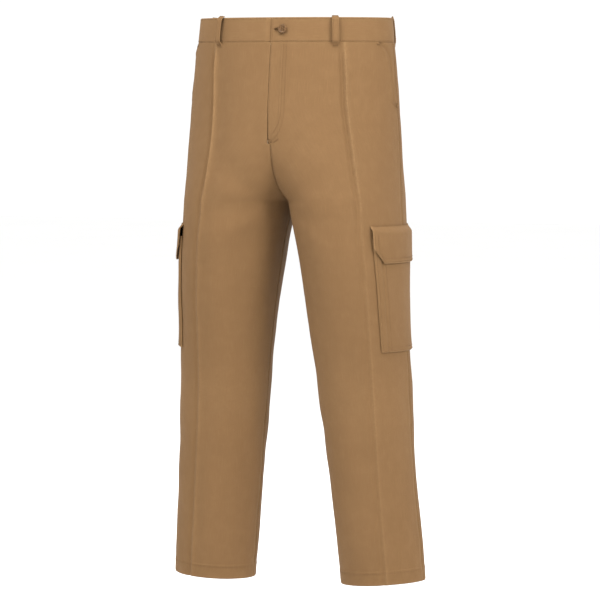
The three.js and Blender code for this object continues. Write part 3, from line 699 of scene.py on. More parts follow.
def woven(name, base, deep, pale, weave, pitch, contrast, strength):
    material, tree, shader, place = start_material(name)
    cloth_map = wire(tree, "UVMap", uv_map="cloth")[0]
    thread = wire(tree, "Group", (0, cloth_map), (1, pitch), node_tree=weave)
    # The fade attribute holds wear. On the legs it also holds a painted highlight along the pressed creases.
    worn = wire(tree, "Attribute", attribute_name="fade")["Fac"]
    dye = wire(tree, "Group", ("Vector", place), ("Cloth", cloth_map), ("Base", base), ("Deep", deep),
               ("Pale", pale), ("Wear", worn), ("Thread", thread["Thread"]), ("Weave contrast", contrast),
               node_tree=dye_wear_and_shade_group())
    height = calc(tree, "MULTIPLY_ADD", clouds(tree, place, 900.0, 2.0), 0.35, thread["Height"])
    coarse = bump(tree, 0.2, 0.0012, clouds(tree, place, 85.0, 3.0))
    connect(tree, shader, [
        ("Base Color", dye["Color"]), ("Roughness", dye["Roughness"]),
        ("Normal", bump(tree, strength, 0.00035, height, ("Normal", coarse))), ("Sheen Weight", 0.18),
        ("Sheen Roughness", 0.45), ("Sheen Tint", pale), ("Specular IOR Level", 0.22)])
    return material


def twill_finish():
    c = colours()
    return woven("twill", rgba(c.twill), rgba(c.twill_deep), rgba(c.twill_pale), weave_group(), 900.0, 0.16, 0.35)


# Other cloths: weave, threads to the metre, strength of the painted shade between the threads, bump, and the
# shares of their deep and pale dye.
CLOTHS = {
    "lining": (weave_group, 1300.0, 0.14, 0.25, 0.85, 1.2),
    "pocketing": (plain_group, 1200.0, 0.16, 0.2, 0.88, 1.15),
    "tape": (plain_group, 700.0, 0.3, 0.5, 0.8, 1.3),
}


def cloth_finish(name):
    weave, pitch, contrast, strength, deep, pale = CLOTHS[name]
    base = getattr(colours(), name)
    return woven(name, rgba(base), rgba(base, deep), rgba(base, pale), weave(), pitch, contrast, strength)


def hooks_finish():
    base = colours().hooks
    material, tree, shader, place = start_material("hooks")
    loops = wire(tree, "TexVoronoi", ("Vector", place), ("Scale", 1100.0))["Distance"]
    mixed = calc(tree, "MULTIPLY", loops, clouds(tree, place, 700.0, 4.0))
    # Painted shade: the tape is darker where its loops lie low, by the same mask that sets the bump.
    shade = blend_colour(tree, remap(tree, mixed, 0.05, 0.4, 1.0, 0.0), rgba(base), rgba(base, 0.45))
    connect(tree, shader, [("Base Color", shade), ("Normal", bump(tree, 0.8, 0.0006, mixed)),
                           ("Roughness", 0.92), ("Specular IOR Level", 0.15)])
    return material


def thread_finish():
    base = colours().thread
    material, tree, shader, place = start_material("thread")
    twist = wire(tree, "TexWave", ("Vector", place), ("Scale", 900.0), ("Distortion", 3.0))["Fac"]
    tint = calc(tree, "MULTIPLY", clouds(tree, place, 40.0, 2.0), 0.35)
    # Painted shade: the thread is darker in the grooves of its twist, where the bump lies low. The tint is random
    # tone.
    shade = blend_colour(tree, twist, rgba(base, 0.72), rgba(base))
    shade = blend_colour(tree, tint, shade, rgba(base, 1.4))
    connect(tree, shader, [("Base Color", shade), ("Normal", bump(tree, 0.4, 0.0002, twist)),
                           ("Roughness", 0.75), ("Specular IOR Level", 0.2)])
    return material


def brass_finish():
    base = colours().brass
    material, tree, shader, place = start_material("brass")
    marks = wire(tree, "Group", ("Vector", place), ("Low", 0.22), ("High", 0.48), node_tree=scratch_group())
    dull = remap(tree, clouds(tree, place, 240.0, 4.0), 0.5, 0.8, 0.0, 0.55)
    shade = blend_colour(tree, dull, rgba(base), rgba(base, 0.5))
    connect(tree, shader, [("Base Color", shade), ("Roughness", marks["Roughness"]),
                           ("Normal", bump(tree, 0.12, 0.0001, marks["Height"])), ("Metallic", 1.0)])
    return material


def button_finish():
    base = colours().button
    material, tree, shader, place = start_material("button")
    flow = remap(tree, clouds(tree, place, 190.0, 3.0, ("Distortion", 2.2)), 0.35, 0.68, 0.0, 1.0)
    shade = blend_colour(tree, flow, rgba(base, 0.62), rgba(base, 1.35))
    marks = wire(tree, "Group", ("Vector", place), ("Low", 0.42), ("High", 0.62), node_tree=scratch_group())
    connect(tree, shader, [("Base Color", shade), ("Roughness", marks["Roughness"]),
                           ("Normal", bump(tree, 0.1, 0.0001, marks["Height"])), ("Specular IOR Level", 0.22)])
    return material


MAKERS = {"twill": twill_finish, "hooks": hooks_finish, "thread": thread_finish, "brass": brass_finish,
          "button": button_finish}


def finish(name):
    return bpy.data.materials.get(name) or (cloth_finish(name) if name in CLOTHS else MAKERS[name]())


def refinish(node, material):
    """Gives a CAD node a better material."""
    item = bpy.data.objects[node]
    if not item.material_slots:
        item.data.materials.append(finish(material))
    for holder in item.material_slots:
        holder.material = finish(material)


# ------------------------------------------------------------------- legs

SIDES = (("left", 1), ("right", -1))


@lru_cache(maxsize=None)
def mouth_angle(drop):
    if drop >= MOUTH_DROP:
        return pi / 2 - half_gap(drop)
    return radians(mouth_line(drop))


def lap_right(drop, beyond=0.0):
    """The lap's right edge, with its rounded lower corner, and a line a set distance beyond it."""
    corner = LAP_DROP - LAP_WIDTH
    if drop <= corner:
        return LAP_WIDTH - FLY_EDGE + beyond
    return -FLY_EDGE + sqrt(max(0, (LAP_WIDTH + beyond) ** 2 - (drop - corner) ** 2))


def fly_edge_x(side, drop):
    """Where a front panel starts, as a distance from the centre line on its own side."""
    if side > 0 and drop < LAP_DROP + LAP_CLEAR:
        return lap_right(drop, LAP_CLEAR)
    return lerp(-FLY_EDGE if side > 0 else FLY_EDGE + 0.6, SEAM_GAP / 2, ease(drop, FLY_DROP, FLY_DROP + 2))


@lru_cache(maxsize=None)
def front_start(side):
    return lru_cache(maxsize=None)(
        lambda drop: max(angle_at(fly_edge_x(side, drop), drop), -pi / 2 + half_gap(drop)))


@lru_cache(maxsize=None)
def back_end(drop):
    return pi - max(angle_at(SEAM_GAP / 2, drop), -pi / 2 + half_gap(drop))


def edge_roll(distance):
    """A seamed edge turns in, with a faint welt of seam allowance beside it."""
    return -0.8 * exp(-distance / 0.9) + 0.45 * ease(distance, 0.8, 2.5) * (1 - ease(distance, 9, 12))


def pucker(angle, drop, distance):
    """Small ripples that the sewing draws into the cloth beside a seam."""
    ripple = noise.noise(Vector((angle * 3, distance / 14, drop / 7.5)))
    return 0.55 * ripple * exp(-distance / 9)


def with_ends(rolled, drop):
    """Adds the step over the turned-up hem and the rolled lower and upper edges."""
    rolled += 0.5 * ease(drop, OUTSEAM - HEM_DEPTH - 2, OUTSEAM - HEM_DEPTH) - 0.7 * exp(-(OUTSEAM - drop) / 0.9)
    return rolled - 0.4 * exp(-(drop - PANEL_TOP) / 1.2)


def front_lift(side):
    start = front_start(side)

    def lift(angle, drop, u):
        across = girth(drop)
        to_side = (mouth_angle(drop) - angle) * across
        to_inner = (angle - start(drop)) * across
        gape = 2.4 * ease(drop, 46, 64) * (1 - ease(drop, 138, 163)) * exp(-to_side / 14)
        rolled = edge_roll(to_side) + pucker(angle, drop, to_side) + gape
        if drop > FLY_DROP:
            rolled += edge_roll(to_inner) * 0.8 + pucker(angle, drop, to_inner)
        return with_ends(rolled, drop)
    return lift


def back_lift(angle, drop, u):
    across = girth(drop)
    to_side = (angle - pi / 2) * across
    to_inner = (back_end(drop) - angle) * across
    rolled = edge_roll(to_side) + pucker(angle, drop, to_side)
    rolled += edge_roll(to_inner) + pucker(angle, drop, to_inner)
    return with_ends(rolled, drop)


def leg_wear_and_highlight(side, front):
    """Mask of wear and painted highlight: 1 on the pressed crease, the edges and the hem, 0 on plain cloth."""
    def fade(angle, drop, u):
        across = girth(drop)
        pressed = crease(side, drop) if front else back_crease(drop)
        away = abs(angle - pressed) * across
        # Along the pressed crease the pale line is partly wear and partly a painted highlight on the ridge. It is
        # stronger on the front.
        strong = (0.95 if front else 0.45) * (1 - 0.6 * ease(drop, 230, 420))
        edges = min(u, 1 - u) * across * 1.6
        worn = strong * exp(-away / 3.5) + 0.35 * exp(-edges / 1.6)
        worn += 0.5 * exp(-(OUTSEAM - drop) / 2.5) + 0.18 * mound(drop, 700, 60) * (1 if front else 0)
        return clamp(worn)
    return fade


def make_legs():
    # Each front and back panel is cut about 0.36 by 1.0 m, narrower at the waist and the hem.
    rows = levels(PANEL_TOP, OUTSEAM, 4.2, [(PANEL_TOP, 50, 0.9), (196, 224, 1.0), (228.5, 232, 0.7),
                                            (1010, 1018, 1.2), (1036, OUTSEAM, 0.8)])
    for word, side in SIDES:
        parts = (
            ("front", front_start(side), mouth_angle, front_lift(side), lambda d, s=side: crease(s, d), 0.272),
            ("back", lambda d: pi / 2 + half_gap(d), back_end, back_lift, back_crease, 0.278))
        for part, start, end, lift, middle, area in parts:
            leg = cloth_patch(f"{word}_{part}_leg", side, rows, 76, start, end, "twill", CLOTH, lift=lift,
                              fade=leg_wear_and_highlight(side, part == "front"), edge_crowd=0.74, middle=middle)
            laid(leg, "twill_cloth", f"{word}_{part}_panel", (0.36, 1.0), "draped", f"{word}_band", area=area)


def make_hems():
    # Each hem is turned up by 25 mm inside a leg that is 474 mm round.
    for word, side in SIDES:
        drops = levels(OUTSEAM - HEM_DEPTH, OUTSEAM - 0.6, 4.0)
        ring = cloth_patch(f"{word}_hem_turnup", side, drops, 96, lambda d: 0.0, lambda d: 2 * pi, "twill",
                           LINING, lift=lambda a, d, u: -CLOTH - INNER_GAP, fade=lambda a, d, u: 0.25)
        joined = bmesh.new()
        joined.from_mesh(ring.data)
        bmesh.ops.remove_doubles(joined, verts=joined.verts[:], dist=WELD)
        joined.to_mesh(ring.data)
        joined.free()
        laid(ring, "twill_cloth", f"{word}_hem_facing", (0.47, 0.025), "folded", f"{word}_front_leg")


def seam_at(side, angle_of, distance, start, end, lift):
    """A line beside a seam, at a distance in millimetres round the body from it."""
    count = max(2, int((end - start) / SEAM_STEP))
    drops = [lerp(start, end, i / count) for i in range(count + 1)]
    return traced(side, [(angle_of(drop) + distance / girth(drop), drop) for drop in drops], lift)


def round_hem(side, drop, lift=0.75):
    return [on_body(side, 2 * pi * i / 160, drop, lift) for i in range(161)]


def make_leg_seams():
    top, foot, up = PANEL_TOP + 2, OUTSEAM - 3, Vector((0, 0, 1))
    for word, side in SIDES:
        # Each row: seam, distance from it, first and last drop, and how far the thread stands out.
        rows = [(lambda d: pi / 2, 2.2, top, foot, 0.62), (lambda d: pi / 2, 8.4, top, foot, 0.55),
                (lambda d: 1.5 * pi, -2.4, 372, foot, 0.62), (back_end, -2.2, top, 330, 0.5),
                (back_end, -8.2, top, 318, 0.5), (mouth_angle, -2.4, top, MOUTH_DROP, 1.3),
                (mouth_angle, -8.2, top, MOUTH_DROP - 2, 1.1)]
        runs = [running(seam_at(side, *row)) for row in rows]
        runs.insert(HEM_TURN, running(round_hem(side, OUTSEAM - 22)))
        for drop, first, last in ((MOUTH_DROP - 1, pi / 2 - 10 / 200, pi / 2 + 1 / 200),
                                  (BAND + 5, MOUTH_TOP - 9 / 190, MOUTH_TOP)):
            runs.append(bartack(on_body(side, first, drop, 0.9), on_body(side, last, drop, 0.9), up))
        sew(f"{word}_leg_stitching", "trousers", *runs)


# -------------------------------------------------------------- waistband

BAND_ROWS = [0, 0.5, 1.2, 2.4, 5, 9, 14, 19, 24, 29, 34, 39, 42.2, 43.8, 44.6, 45]


def band_lift(drop):
    top = -0.95 * exp(-drop / 0.8)
    seam = -0.7 * exp(-(BAND - drop) / 0.8)
    padded = 0.35 * sin(pi * clamp(drop / BAND))
    return top + seam + padded


def under_depth(x):
    return (BAND_CLOTH + SEAM_GAP) * ease(x, -FLY_EDGE - 12, -FLY_EDGE)


def band_sheet(name, side, mark, columns, lift):
    def at(column, row):
        drop = BAND_ROWS[row]
        return mark(column, drop), drop

    def place(column, row):
        angle, drop = at(column, row)
        wave = 0.5 * noise.noise(Vector((angle * 4, side * 2.0, drop / 40)))
        return on_body(side, angle, drop, band_lift(drop) + wave * ease(abs(angle), 0.2, 0.5) + lift(angle, drop))

    def uv(column, row):
        angle, drop = at(column, row)
        return drop * MM, angle * 150 * MM

    def worn(column, row):
        drop = BAND_ROWS[row]
        return clamp(0.9 * exp(-drop / 1.8) + 0.45 * exp(-(BAND - drop) / 2.0) + 0.12)

    bm = grid_sheet(columns, len(BAND_ROWS) - 1, place, uv, worn, side < 0)
    return new_piece(name, bm, "twill", BAND_CLOTH, round_edge=0.5)


def carve(piece, cutter_bm):
    """Cuts a closed shape out of a piece and makes the mesh final."""
    mesh = bpy.data.meshes.new("cutter")
    cutter_bm.to_mesh(mesh)
    cutter_bm.free()
    cutter = add_object("cutter", mesh)
    cut = piece.modifiers.new("Cut", "BOOLEAN")
    cut.operation = "DIFFERENCE"
    cut.solver = "EXACT"
    cut.object = cutter
    settled(piece)
    bpy.data.objects.remove(cutter)
    bpy.data.meshes.remove(mesh)
    return piece


def stand(point, direction, up=Vector((0, 0, 1))):
    """Matrix that puts a shape made round +Z at a point, with +Z along a direction."""
    z = direction.normalized()
    x = up.cross(z).normalized()
    y = z.cross(x)
    return Matrix.Translation(point) @ Matrix((x, y, z)).transposed().to_4x4()


def button_seat():
    angle = angle_at(18, 22)
    return on_body(1, angle, 22), outward(1, angle, 22)


def make_waistband():
    # The folded band is 45 mm wide, 478 mm long at the left and 514 mm at the right.
    def left_mark(column, drop):
        return lerp(angle_at(-FLY_EDGE, drop), pi - angle_at(SEAM_GAP / 2, drop), column / 150)

    def right_mark(column, drop):
        marks = [angle_at(x, drop) for x in (-40, FLY_EDGE, FLY_EDGE + 12)] + [pi - angle_at(SEAM_GAP / 2, drop)]
        if column <= 16:
            return lerp(marks[0], marks[1], column / 16)
        if column <= 28:
            return lerp(marks[1], marks[2], (column - 16) / 12)
        return lerp(marks[2], marks[3], (column - 28) / 140)

    def right_lift(angle, drop):
        return -under_depth(-section(drop)[1] * sin(angle))

    left = band_sheet("left_band", 1, left_mark, 150, lambda a, d: 0.0)
    seat, out = button_seat()
    slot = bmesh.new()
    bmesh.ops.create_circle(slot, cap_ends=True, segments=20, radius=1.7 * MM)
    for vert in slot.verts:
        vert.co.x += (7.8 if vert.co.x > 1e-6 else -7.8) * MM
    drawn = bmesh.ops.extrude_face_region(slot, geom=slot.faces[:])["geom"]
    bmesh.ops.translate(slot, verts=[g for g in drawn if isinstance(g, bmesh.types.BMVert)], vec=(0, 0, 12 * MM))
    bmesh.ops.translate(slot, verts=slot.verts[:], vec=(-6.6 * MM, 0, -6 * MM))
    bmesh.ops.transform(slot, matrix=stand(seat, out), verts=slot.verts[:])
    bmesh.ops.recalc_face_normals(slot, faces=slot.faces[:])
    carve(left, slot)
    laid(left, "twill_cloth", "left_waistband", (0.478, 0.045), "folded", "left_front_leg")
    right = band_sheet("right_band", -1, right_mark, 168, right_lift)
    laid(right, "twill_cloth", "right_waistband", (0.514, 0.045), "folded", "right_front_leg")

    for word, side, edge in (("left", 1, -2), ("right", -1, 14)):
        lines = []
        for drop in (2.6, BAND - 2.4):
            start, end = angle_at(edge, drop), pi - angle_at(2, drop)
            lines.append(running(body_line(side, (start, drop), (end, drop), 0.42, 160)))
        if side > 0:
            lines.append(running(body_line(1, (angle_at(-1.6, 3), 3), (angle_at(-1.6, 42), 42), 0.4, 20)))
            # Close stitches run along both lips of the buttonhole.
            turn = stand(seat, out)
            lip = turn.to_3x3() @ Vector((0, 1, 0))
            lines.append([(turn @ Vector(((x / 10) * MM, y * MM, 0.55 * MM)), lip, 1.9 * MM)
                          for x in range(-153, 27, 7) for y in (2.6, -2.6)])
        sew(f"{word}_band_stitching", "trousers", *lines)


def make_band_linings():
    # Each band lining is a 43 mm strip.
    for word, side, edge, long in (("left", 1, -2, 0.47), ("right", -1, 17, 0.50)):
        lining_start = angle_at(edge, 20)
        drops = [2, 4, 8, 14, 20, 26, 32, 38, 42, BAND]
        piece = cloth_patch(f"{word}_band_inside", side, drops, 120, lambda d, a=lining_start: a,
                            lambda d: pi - angle_at(SEAM_GAP, d), "lining", LINING,
                            lift=lambda a, d, u: -BAND_CLOTH - INNER_GAP + 0.2 * sin(d / 7),
                            fade=lambda a, d, u: 0.1)
        laid(piece, "band_lining", f"{word}_waistband_lining", (long, 0.043), "draped", f"{word}_band")
        lines = []
        for drop in (5, 40):
            route = [(lerp(lining_start + 0.02, pi - 0.02, i / 160), drop) for i in range(161)]
            lines.append(running(traced(side, route, -BAND_CLOTH - INNER_GAP - LINING - 0.2)))
        sew(f"{word}_lining_stitching", "trousers", *lines)


# -------------------------------------------------------------- belt loops

LOOPS = [("left_front", 1, 36.6), ("right_front", -1, 36.6), ("left_side", 1, 108), ("right_side", -1, 108),
         ("left_rear", 1, 147), ("right_rear", -1, 147), ("centre_back", 1, 180)]
LOOP_PATH = [(0.2, -54.0), (0.45, -51.5), (1.1, -49.6), (3.2, -47.6), (5.6, -45.6), (7.3, -42.5), (8.0, -37.0),
             (8.3, -24.0), (8.1, -10.0), (7.4, -4.5), (5.6, -1.2), (3.4, 1.2), (1.2, 2.7), (-1.5, 3.0)]


def make_belt_loops():
    # Each loop is a 12.5 mm strip, 68 mm long. The two at the sides lie close to the band.
    steps = 44
    lengths = [0.0]
    for (a, b), (c, d) in zip(LOOP_PATH, LOOP_PATH[1:]):
        lengths.append(lengths[-1] + hypot(c - a, d - b))
    route = curve_through([(s, p[0]) for s, p in zip(lengths, LOOP_PATH)])
    climb = curve_through([(s, p[1]) for s, p in zip(lengths, LOOP_PATH)])
    whole = lengths[-1]
    half = sizes().loop_width / 2 / MM
    for label, side, degree in LOOPS:
        angle = radians(degree)
        high, low = on_body(side, angle, 0.5), on_body(side, angle, LOOP_DROP)
        up = (high - low).normalized()
        out = outward(side, angle, 20) if degree < 179 else Vector((0, 1, 0))
        across = up.cross(out).normalized()
        out = across.cross(up).normalized()

        snug = SIDE_SNUG if "side" in label else 1.0

        def spot(u, s, raise_by=0.0):
            t = s * whole
            swell = 0.35 * cos(pi * u / 2.2) + 0.15 * noise.noise(Vector((u * 2, t / 9, degree)))
            move = out * (route(t) * snug + 0.35 + swell + raise_by) + up * climb(t) + across * (u * half)
            return high + move * MM

        def place(column, row):
            return spot(column / 4 - 1, 1 - row / steps)

        bm = grid_sheet(8, steps, place, lambda c, r: (c * 0.0016, r * 0.0016),
                        lambda c, r: 0.6 if c in (0, 8) else 0.12)
        piece = new_piece(f"{label}_loop", bm, "twill", 1.6, round_edge=0.35)
        laid(piece, "twill_cloth", f"{label}_belt_loop", (0.0125, 0.068), "folded",
             "left_band" if side > 0 else "right_band")
        lines = []
        for u in (-0.68, 0.68):
            lines.append(running([spot(u, lerp(0.05, 0.94, i / 50), 0.15) for i in range(51)]))
        for s in (0.045, 0.955):
            lines.append(bartack(spot(-0.85, s, 0.25), spot(0.85, s, 0.25), up))
        sew(f"{label}_loop_stitching", "trousers", *lines)


# ---------------------------------------------------------------- fly


def make_fly():
    # The lap is 21 mm of the left front, 177 mm long, with a rounded lower corner.
    drops = levels(PANEL_TOP, LAP_DROP - 0.5, 3.6, [(PANEL_TOP, 50, 0.9), (197, 222, 1.0)])

    def lift(angle, drop, u):
        edge = (angle - angle_at(-FLY_EDGE, drop)) * girth(drop)
        roll = -0.6 * exp(-edge / 0.8) + 0.35 * ease(edge, 0.4, 3) * (1 - ease(edge, 5, 9))
        return roll + 0.3 * noise.noise(Vector((edge / 9, drop / 26, 4.0))) - 0.4 * exp(-(drop - PANEL_TOP) / 1.2)

    lap = cloth_patch("fly_edge_lap", 1, drops, 22, lambda d: angle_at(-FLY_EDGE, d),
                      lambda d: angle_at(lap_right(d), d), "twill", CLOTH, lift=lift,
                      fade=lambda a, d, u: 0.55 * exp(-u * 8), edge_crowd=0.5)
    blended(lap, "fly_edge", (0.0168, -0.12523, -0.0453), (0.0085, -0.12523, -0.0453), "fly_lap",
            (0.021, 0.177), "left_front_leg")

    facing = cloth_patch("fly_inner_facing", 1, levels(PANEL_TOP, LAP_DROP, 5), 14,
                         lambda d: angle_at(17.6, d), lambda d: angle_at(FACING_REACH, d), "lining", LINING,
                         lift=lambda a, d, u: -CLOTH - INNER_GAP)
    laid(facing, "twill_cloth", "fly_facing", (0.021, 0.177), "draped", "left_front_leg")

    shield_depth = CHAIN_DEPTH + 1.1 + 0.3 + 0.9 + 2 * INNER_GAP
    seat = CLOTH + INNER_GAP
    route = [(-ZIP_X - 28, seat + front_sag(28)), (-ZIP_X - 12, seat + front_sag(12) + 2.5),
             (-TAPE_INNER, shield_depth), (31, shield_depth)]
    shield = zip_sheet("fly_inner_shield", route, ZIP_TOP - SEAM_GAP, LAP_DROP, "twill", 1.2)
    laid(shield, "twill_cloth", "fly_shield", (0.068, 0.172), "draped", "right_front_leg")

    # The J of topstitching runs straight down and then turns in to the centre seam.
    curve = [(J_REACH, lerp(PANEL_TOP + 2, J_TURN, i / 30)) for i in range(31)]
    for i in range(1, 31):
        turn = pi / 2 * i / 30
        curve.append((J_REACH * cos(turn) - 2 * (1 - cos(turn)), J_TURN + 56 * sin(turn)))

    def front(x, drop, lift):
        return on_body(1, angle_at(x, drop), drop, lift)

    outer = [front(x, drop, 0.3) for x, drop in curve]
    inner = [on_body(1, angle_at(max(-3, x - 5.5), drop), drop - 4 * clamp((drop - J_TURN) / 50), 0.3)
             for x, drop in curve if x > 8]
    centre = [front(2.6, drop, 0.4) for drop in range(232, 330, 4)]
    sew("fly_stitching", "trousers", running(outer), running(inner), running(centre),
        bartack(front(17, 221, 0.5), front(8, 227, 0.5), Vector((0.5, 0, 1))),
        bartack(front(-2.5, 226, 0.5), front(4, 226, 0.5), Vector((0, 0, 1))))
    sew("fly_edge_stitching", "fly_edge", running([front(-1.4, drop, 0.4) for drop in range(48, 218, 3)]))


# ---------------------------------------------------------------- zip

def zip_frame():
    """Top of the zip with its across, inward and up directions, in millimetres, and its length."""
    def plain(drop):
        centre, width, depth, centre_y = section(drop)
        angle = angle_at(ZIP_X, drop)
        return Vector((centre + width * sin(angle), centre_y - depth * cos(angle), -drop))
    high, low = plain(ZIP_TOP), plain(ZIP_BOTTOM)
    up = (high - low).normalized()
    across = Vector((1, 0, 0))
    return high, across, up.cross(across).normalized(), up, (high - low).length


def front_sag(x):
    _, width, depth, _ = section(ZIP_TOP)
    return depth * (1 - sqrt(1 - (x / width) ** 2))


def on_zip(x, inward, drop):
    high, across, inside, up, length = zip_frame()
    travel = length * (drop - ZIP_TOP) / (ZIP_BOTTOM - ZIP_TOP)
    return (high + across * x + inside * inward - up * travel) * MM


def zip_sheet(name, route, start, end, material, wall):
    """A sheet with a bent cross-section of (x, inward) points, run along the zip."""
    per, rows = 6, 40

    def place(column, row):
        i = min(column // per, len(route) - 2)
        t = column / per - i
        x = lerp(route[i][0], route[i + 1][0], t)
        deep = lerp(route[i][1], route[i + 1][1], t)
        return on_zip(x, deep + 0.12 * sin(row * 0.7 + x / 6), lerp(start, end, row / rows))

    bm = grid_sheet(per * (len(route) - 1), rows, place, lambda c, r: (c * 0.002, r * 0.0043),
                    flip=route[0][0] > route[-1][0])
    return new_piece(name, bm, material, wall)


def make_zip():
    front = CHAIN_DEPTH - 0.35
    back = {1: CLOTH + INNER_GAP + LINING + front_sag(FACING_REACH) + INNER_GAP,
            -1: CLOTH + front_sag(12) + INNER_GAP}
    reach = {1: FACING_REACH - ZIP_X - SEAM_GAP, -1: ZIP_X + 12}
    for word, side in SIDES:
        # The tapes are 28 mm (left) and 16 mm (right) wide and 172 mm long.
        route = [(side * TAPE_INNER, front), (side * (TAPE_INNER + 2.5), front), (side * reach[side], back[side])]
        if side < 0:
            route.reverse()
        tape = zip_sheet(f"{word}_tape", route, ZIP_TOP, ZIP_BOTTOM, "tape", 0.7)
        laid(tape, "zip_tape", f"{word}_zip_tape", (0.028 if side > 0 else 0.016, 0.172), "draped",
             "fly_inner_shield")

        # Cast teeth, each gripping the edge of its tape, with a nib that meshes with the other side.
        teeth = bmesh.new()
        count = int((CHAIN_BOTTOM - CHAIN_TOP) / TOOTH_PITCH)
        _, across, inside, up, _ = zip_frame()
        turn = Matrix((across, inside, up)).transposed().to_4x4()
        for i in range(count):
            drop = CHAIN_TOP + TOOTH_PITCH * (i + (0.25 if side > 0 else 0.75))
            body = Matrix.Translation(on_zip(side * 2.35, CHAIN_DEPTH, drop)) @ turn
            bmesh.ops.create_cube(teeth, size=MM, matrix=body @ Matrix.Diagonal((2.1, 2.2, 1.5, 1)))
            nib = Matrix.Translation(on_zip(side * 0.72, CHAIN_DEPTH, drop)) @ turn
            bmesh.ops.create_uvsphere(teeth, u_segments=8, v_segments=6, radius=MM,
                                      matrix=nib @ Matrix.Diagonal((1.15, 0.85, 0.66, 1)))
        bmesh.ops.bevel(teeth, geom=[e for e in teeth.edges if e.calc_face_angle(0) > 1.3], offset=0.28 * MM,
                        offset_type="OFFSET", segments=2, profile=0.5, affect="EDGES", material=-1)
        belongs(new_piece(f"{word}_teeth", teeth, "brass"), "trousers", "zip_metal", f"{word}_zip_chain")
    for node in ("left_zip_top_stop", "right_zip_top_stop", "zip_bottom_stop", "zip_slider", "zip_pull"):
        refinish(node, "brass")


# ---------------------------------------------------------------- buttons

def button_shape(name, radius, place):
    """A four-hole button with a rounded rim and a dished middle."""
    thick = 2.8
    profile = [(0.0, 0.0), (0.80, 0.0), (0.93, 0.12), (1.0, 0.42), (0.98, 0.72), (0.90, 0.94), (0.80, 1.0),
               (0.70, 0.94), (0.62, 0.74), (0.50, 0.66), (0.0, 0.64)]
    shape = turned([(share * radius, level * thick) for share, level in profile], 40, place)
    piece = new_piece(name, shape, "button")
    holes = bmesh.new()
    for x in (1, -1):
        for y in (1, -1):
            spot = Matrix.Translation((x * 0.20 * radius * MM, y * 0.20 * radius * MM, thick / 2 * MM))
            bmesh.ops.create_cone(holes, cap_ends=True, segments=14, radius1=0.1 * radius * MM,
                                  radius2=0.1 * radius * MM, depth=3 * thick * MM, matrix=place @ spot)
    return carve(piece, holes)


def button_thread(name, body, radius, place):
    """Two bars of thread through the four holes."""
    stitches = []
    turn = place.to_3x3()
    for y in (1, -1):
        for k in (-1, 0, 1):
            middle = place @ (Vector((0, y * 0.20 * radius + k * 0.32, 2.15)) * MM)
            stitches.append((middle, turn @ Vector((1, 0, 0)), 0.56 * radius * MM))
    return sew(name, body, stitches)


def make_waist_button():
    seat, out = button_seat()
    place = stand(seat + out * 2.2 * MM, out)
    button = button_shape("front_button", BUTTON_RADIUS, place)
    belongs(button, "button", "button_plastic", "waist_button")
    button_thread("front_button_thread", "button", BUTTON_RADIUS, place)

    # The shank is thread wound round itself between the underlap and the button.
    coils = [(1.15 + 0.16 * sin(i * 1.7), lerp(-2.4, 1.9, i / 26)) for i in range(27)]
    shank = turned([(0, -2.4)] + coils + [(0, 1.9)], 20, stand(seat, out))
    belongs(new_piece("front_button_shank", shank, "thread"), "trousers", "sewing_thread", "waist_button_thread")


# ---------------------------------------------------------------- pockets

def bag_sheet(name, side, start, end, first, last, depth, columns):
    """Folded pocketing: down one layer, round the fold and up the other."""
    down = levels(first, last, 6.0)
    path = [(drop, depth) for drop in down] + [(drop, depth + 2.0) for drop in reversed(down)]

    def place(column, row):
        drop, deep = path[row]
        angle = lerp(start(drop), end(drop), column / columns)
        sag = 0.25 * sin(column * 0.8 + row * 0.13)
        return on_body(side, angle, drop, -deep + sag * 0.4)

    def uv(column, row):
        drop, _ = path[row]
        return column * 0.01, -drop * MM

    bm = grid_sheet(columns, len(path) - 1, place, uv, None, side < 0)
    return new_piece(name, bm, "pocketing", 0.8)


def facing_lift(angle, drop, u):
    """The facing lies behind the front and comes up to the side seam in the mouth of the pocket."""
    shown = (angle - mouth_angle(drop)) * girth(drop)
    deep = -CLOTH - INNER_GAP + 0.3 * noise.noise(Vector((angle * 6, drop / 30, 2)))
    return lerp(deep, -0.15, ease(shown, 5, 15))


def make_hand_pockets():
    for word, side in SIDES:
        # The facing is cut about 110 by 155 mm, and the bag 190 by 480 mm, folded across.
        facing = cloth_patch(f"{word}_hand_facing", side, levels(PANEL_TOP, 200, 5), 34, lambda d: radians(52),
                             lambda d: pi / 2 - half_gap(d), "twill", LINING, lift=facing_lift)
        laid(facing, "twill_cloth", f"{word}_hand_pocket_facing", (0.11, 0.155), "draped", f"{word}_front_leg")
        bag = bag_sheet(f"{word}_hand_bag", side, lambda d: radians(30), lambda d: radians(87), PANEL_TOP, 285,
                        CLOTH + 2 * INNER_GAP + LINING, 36)
        laid(bag, "pocketing", f"{word}_hand_pocket_bag", (0.19, 0.48), "folded", f"{word}_band")


def rear_angle(x):
    return lambda drop: pi - angle_at(x, drop)


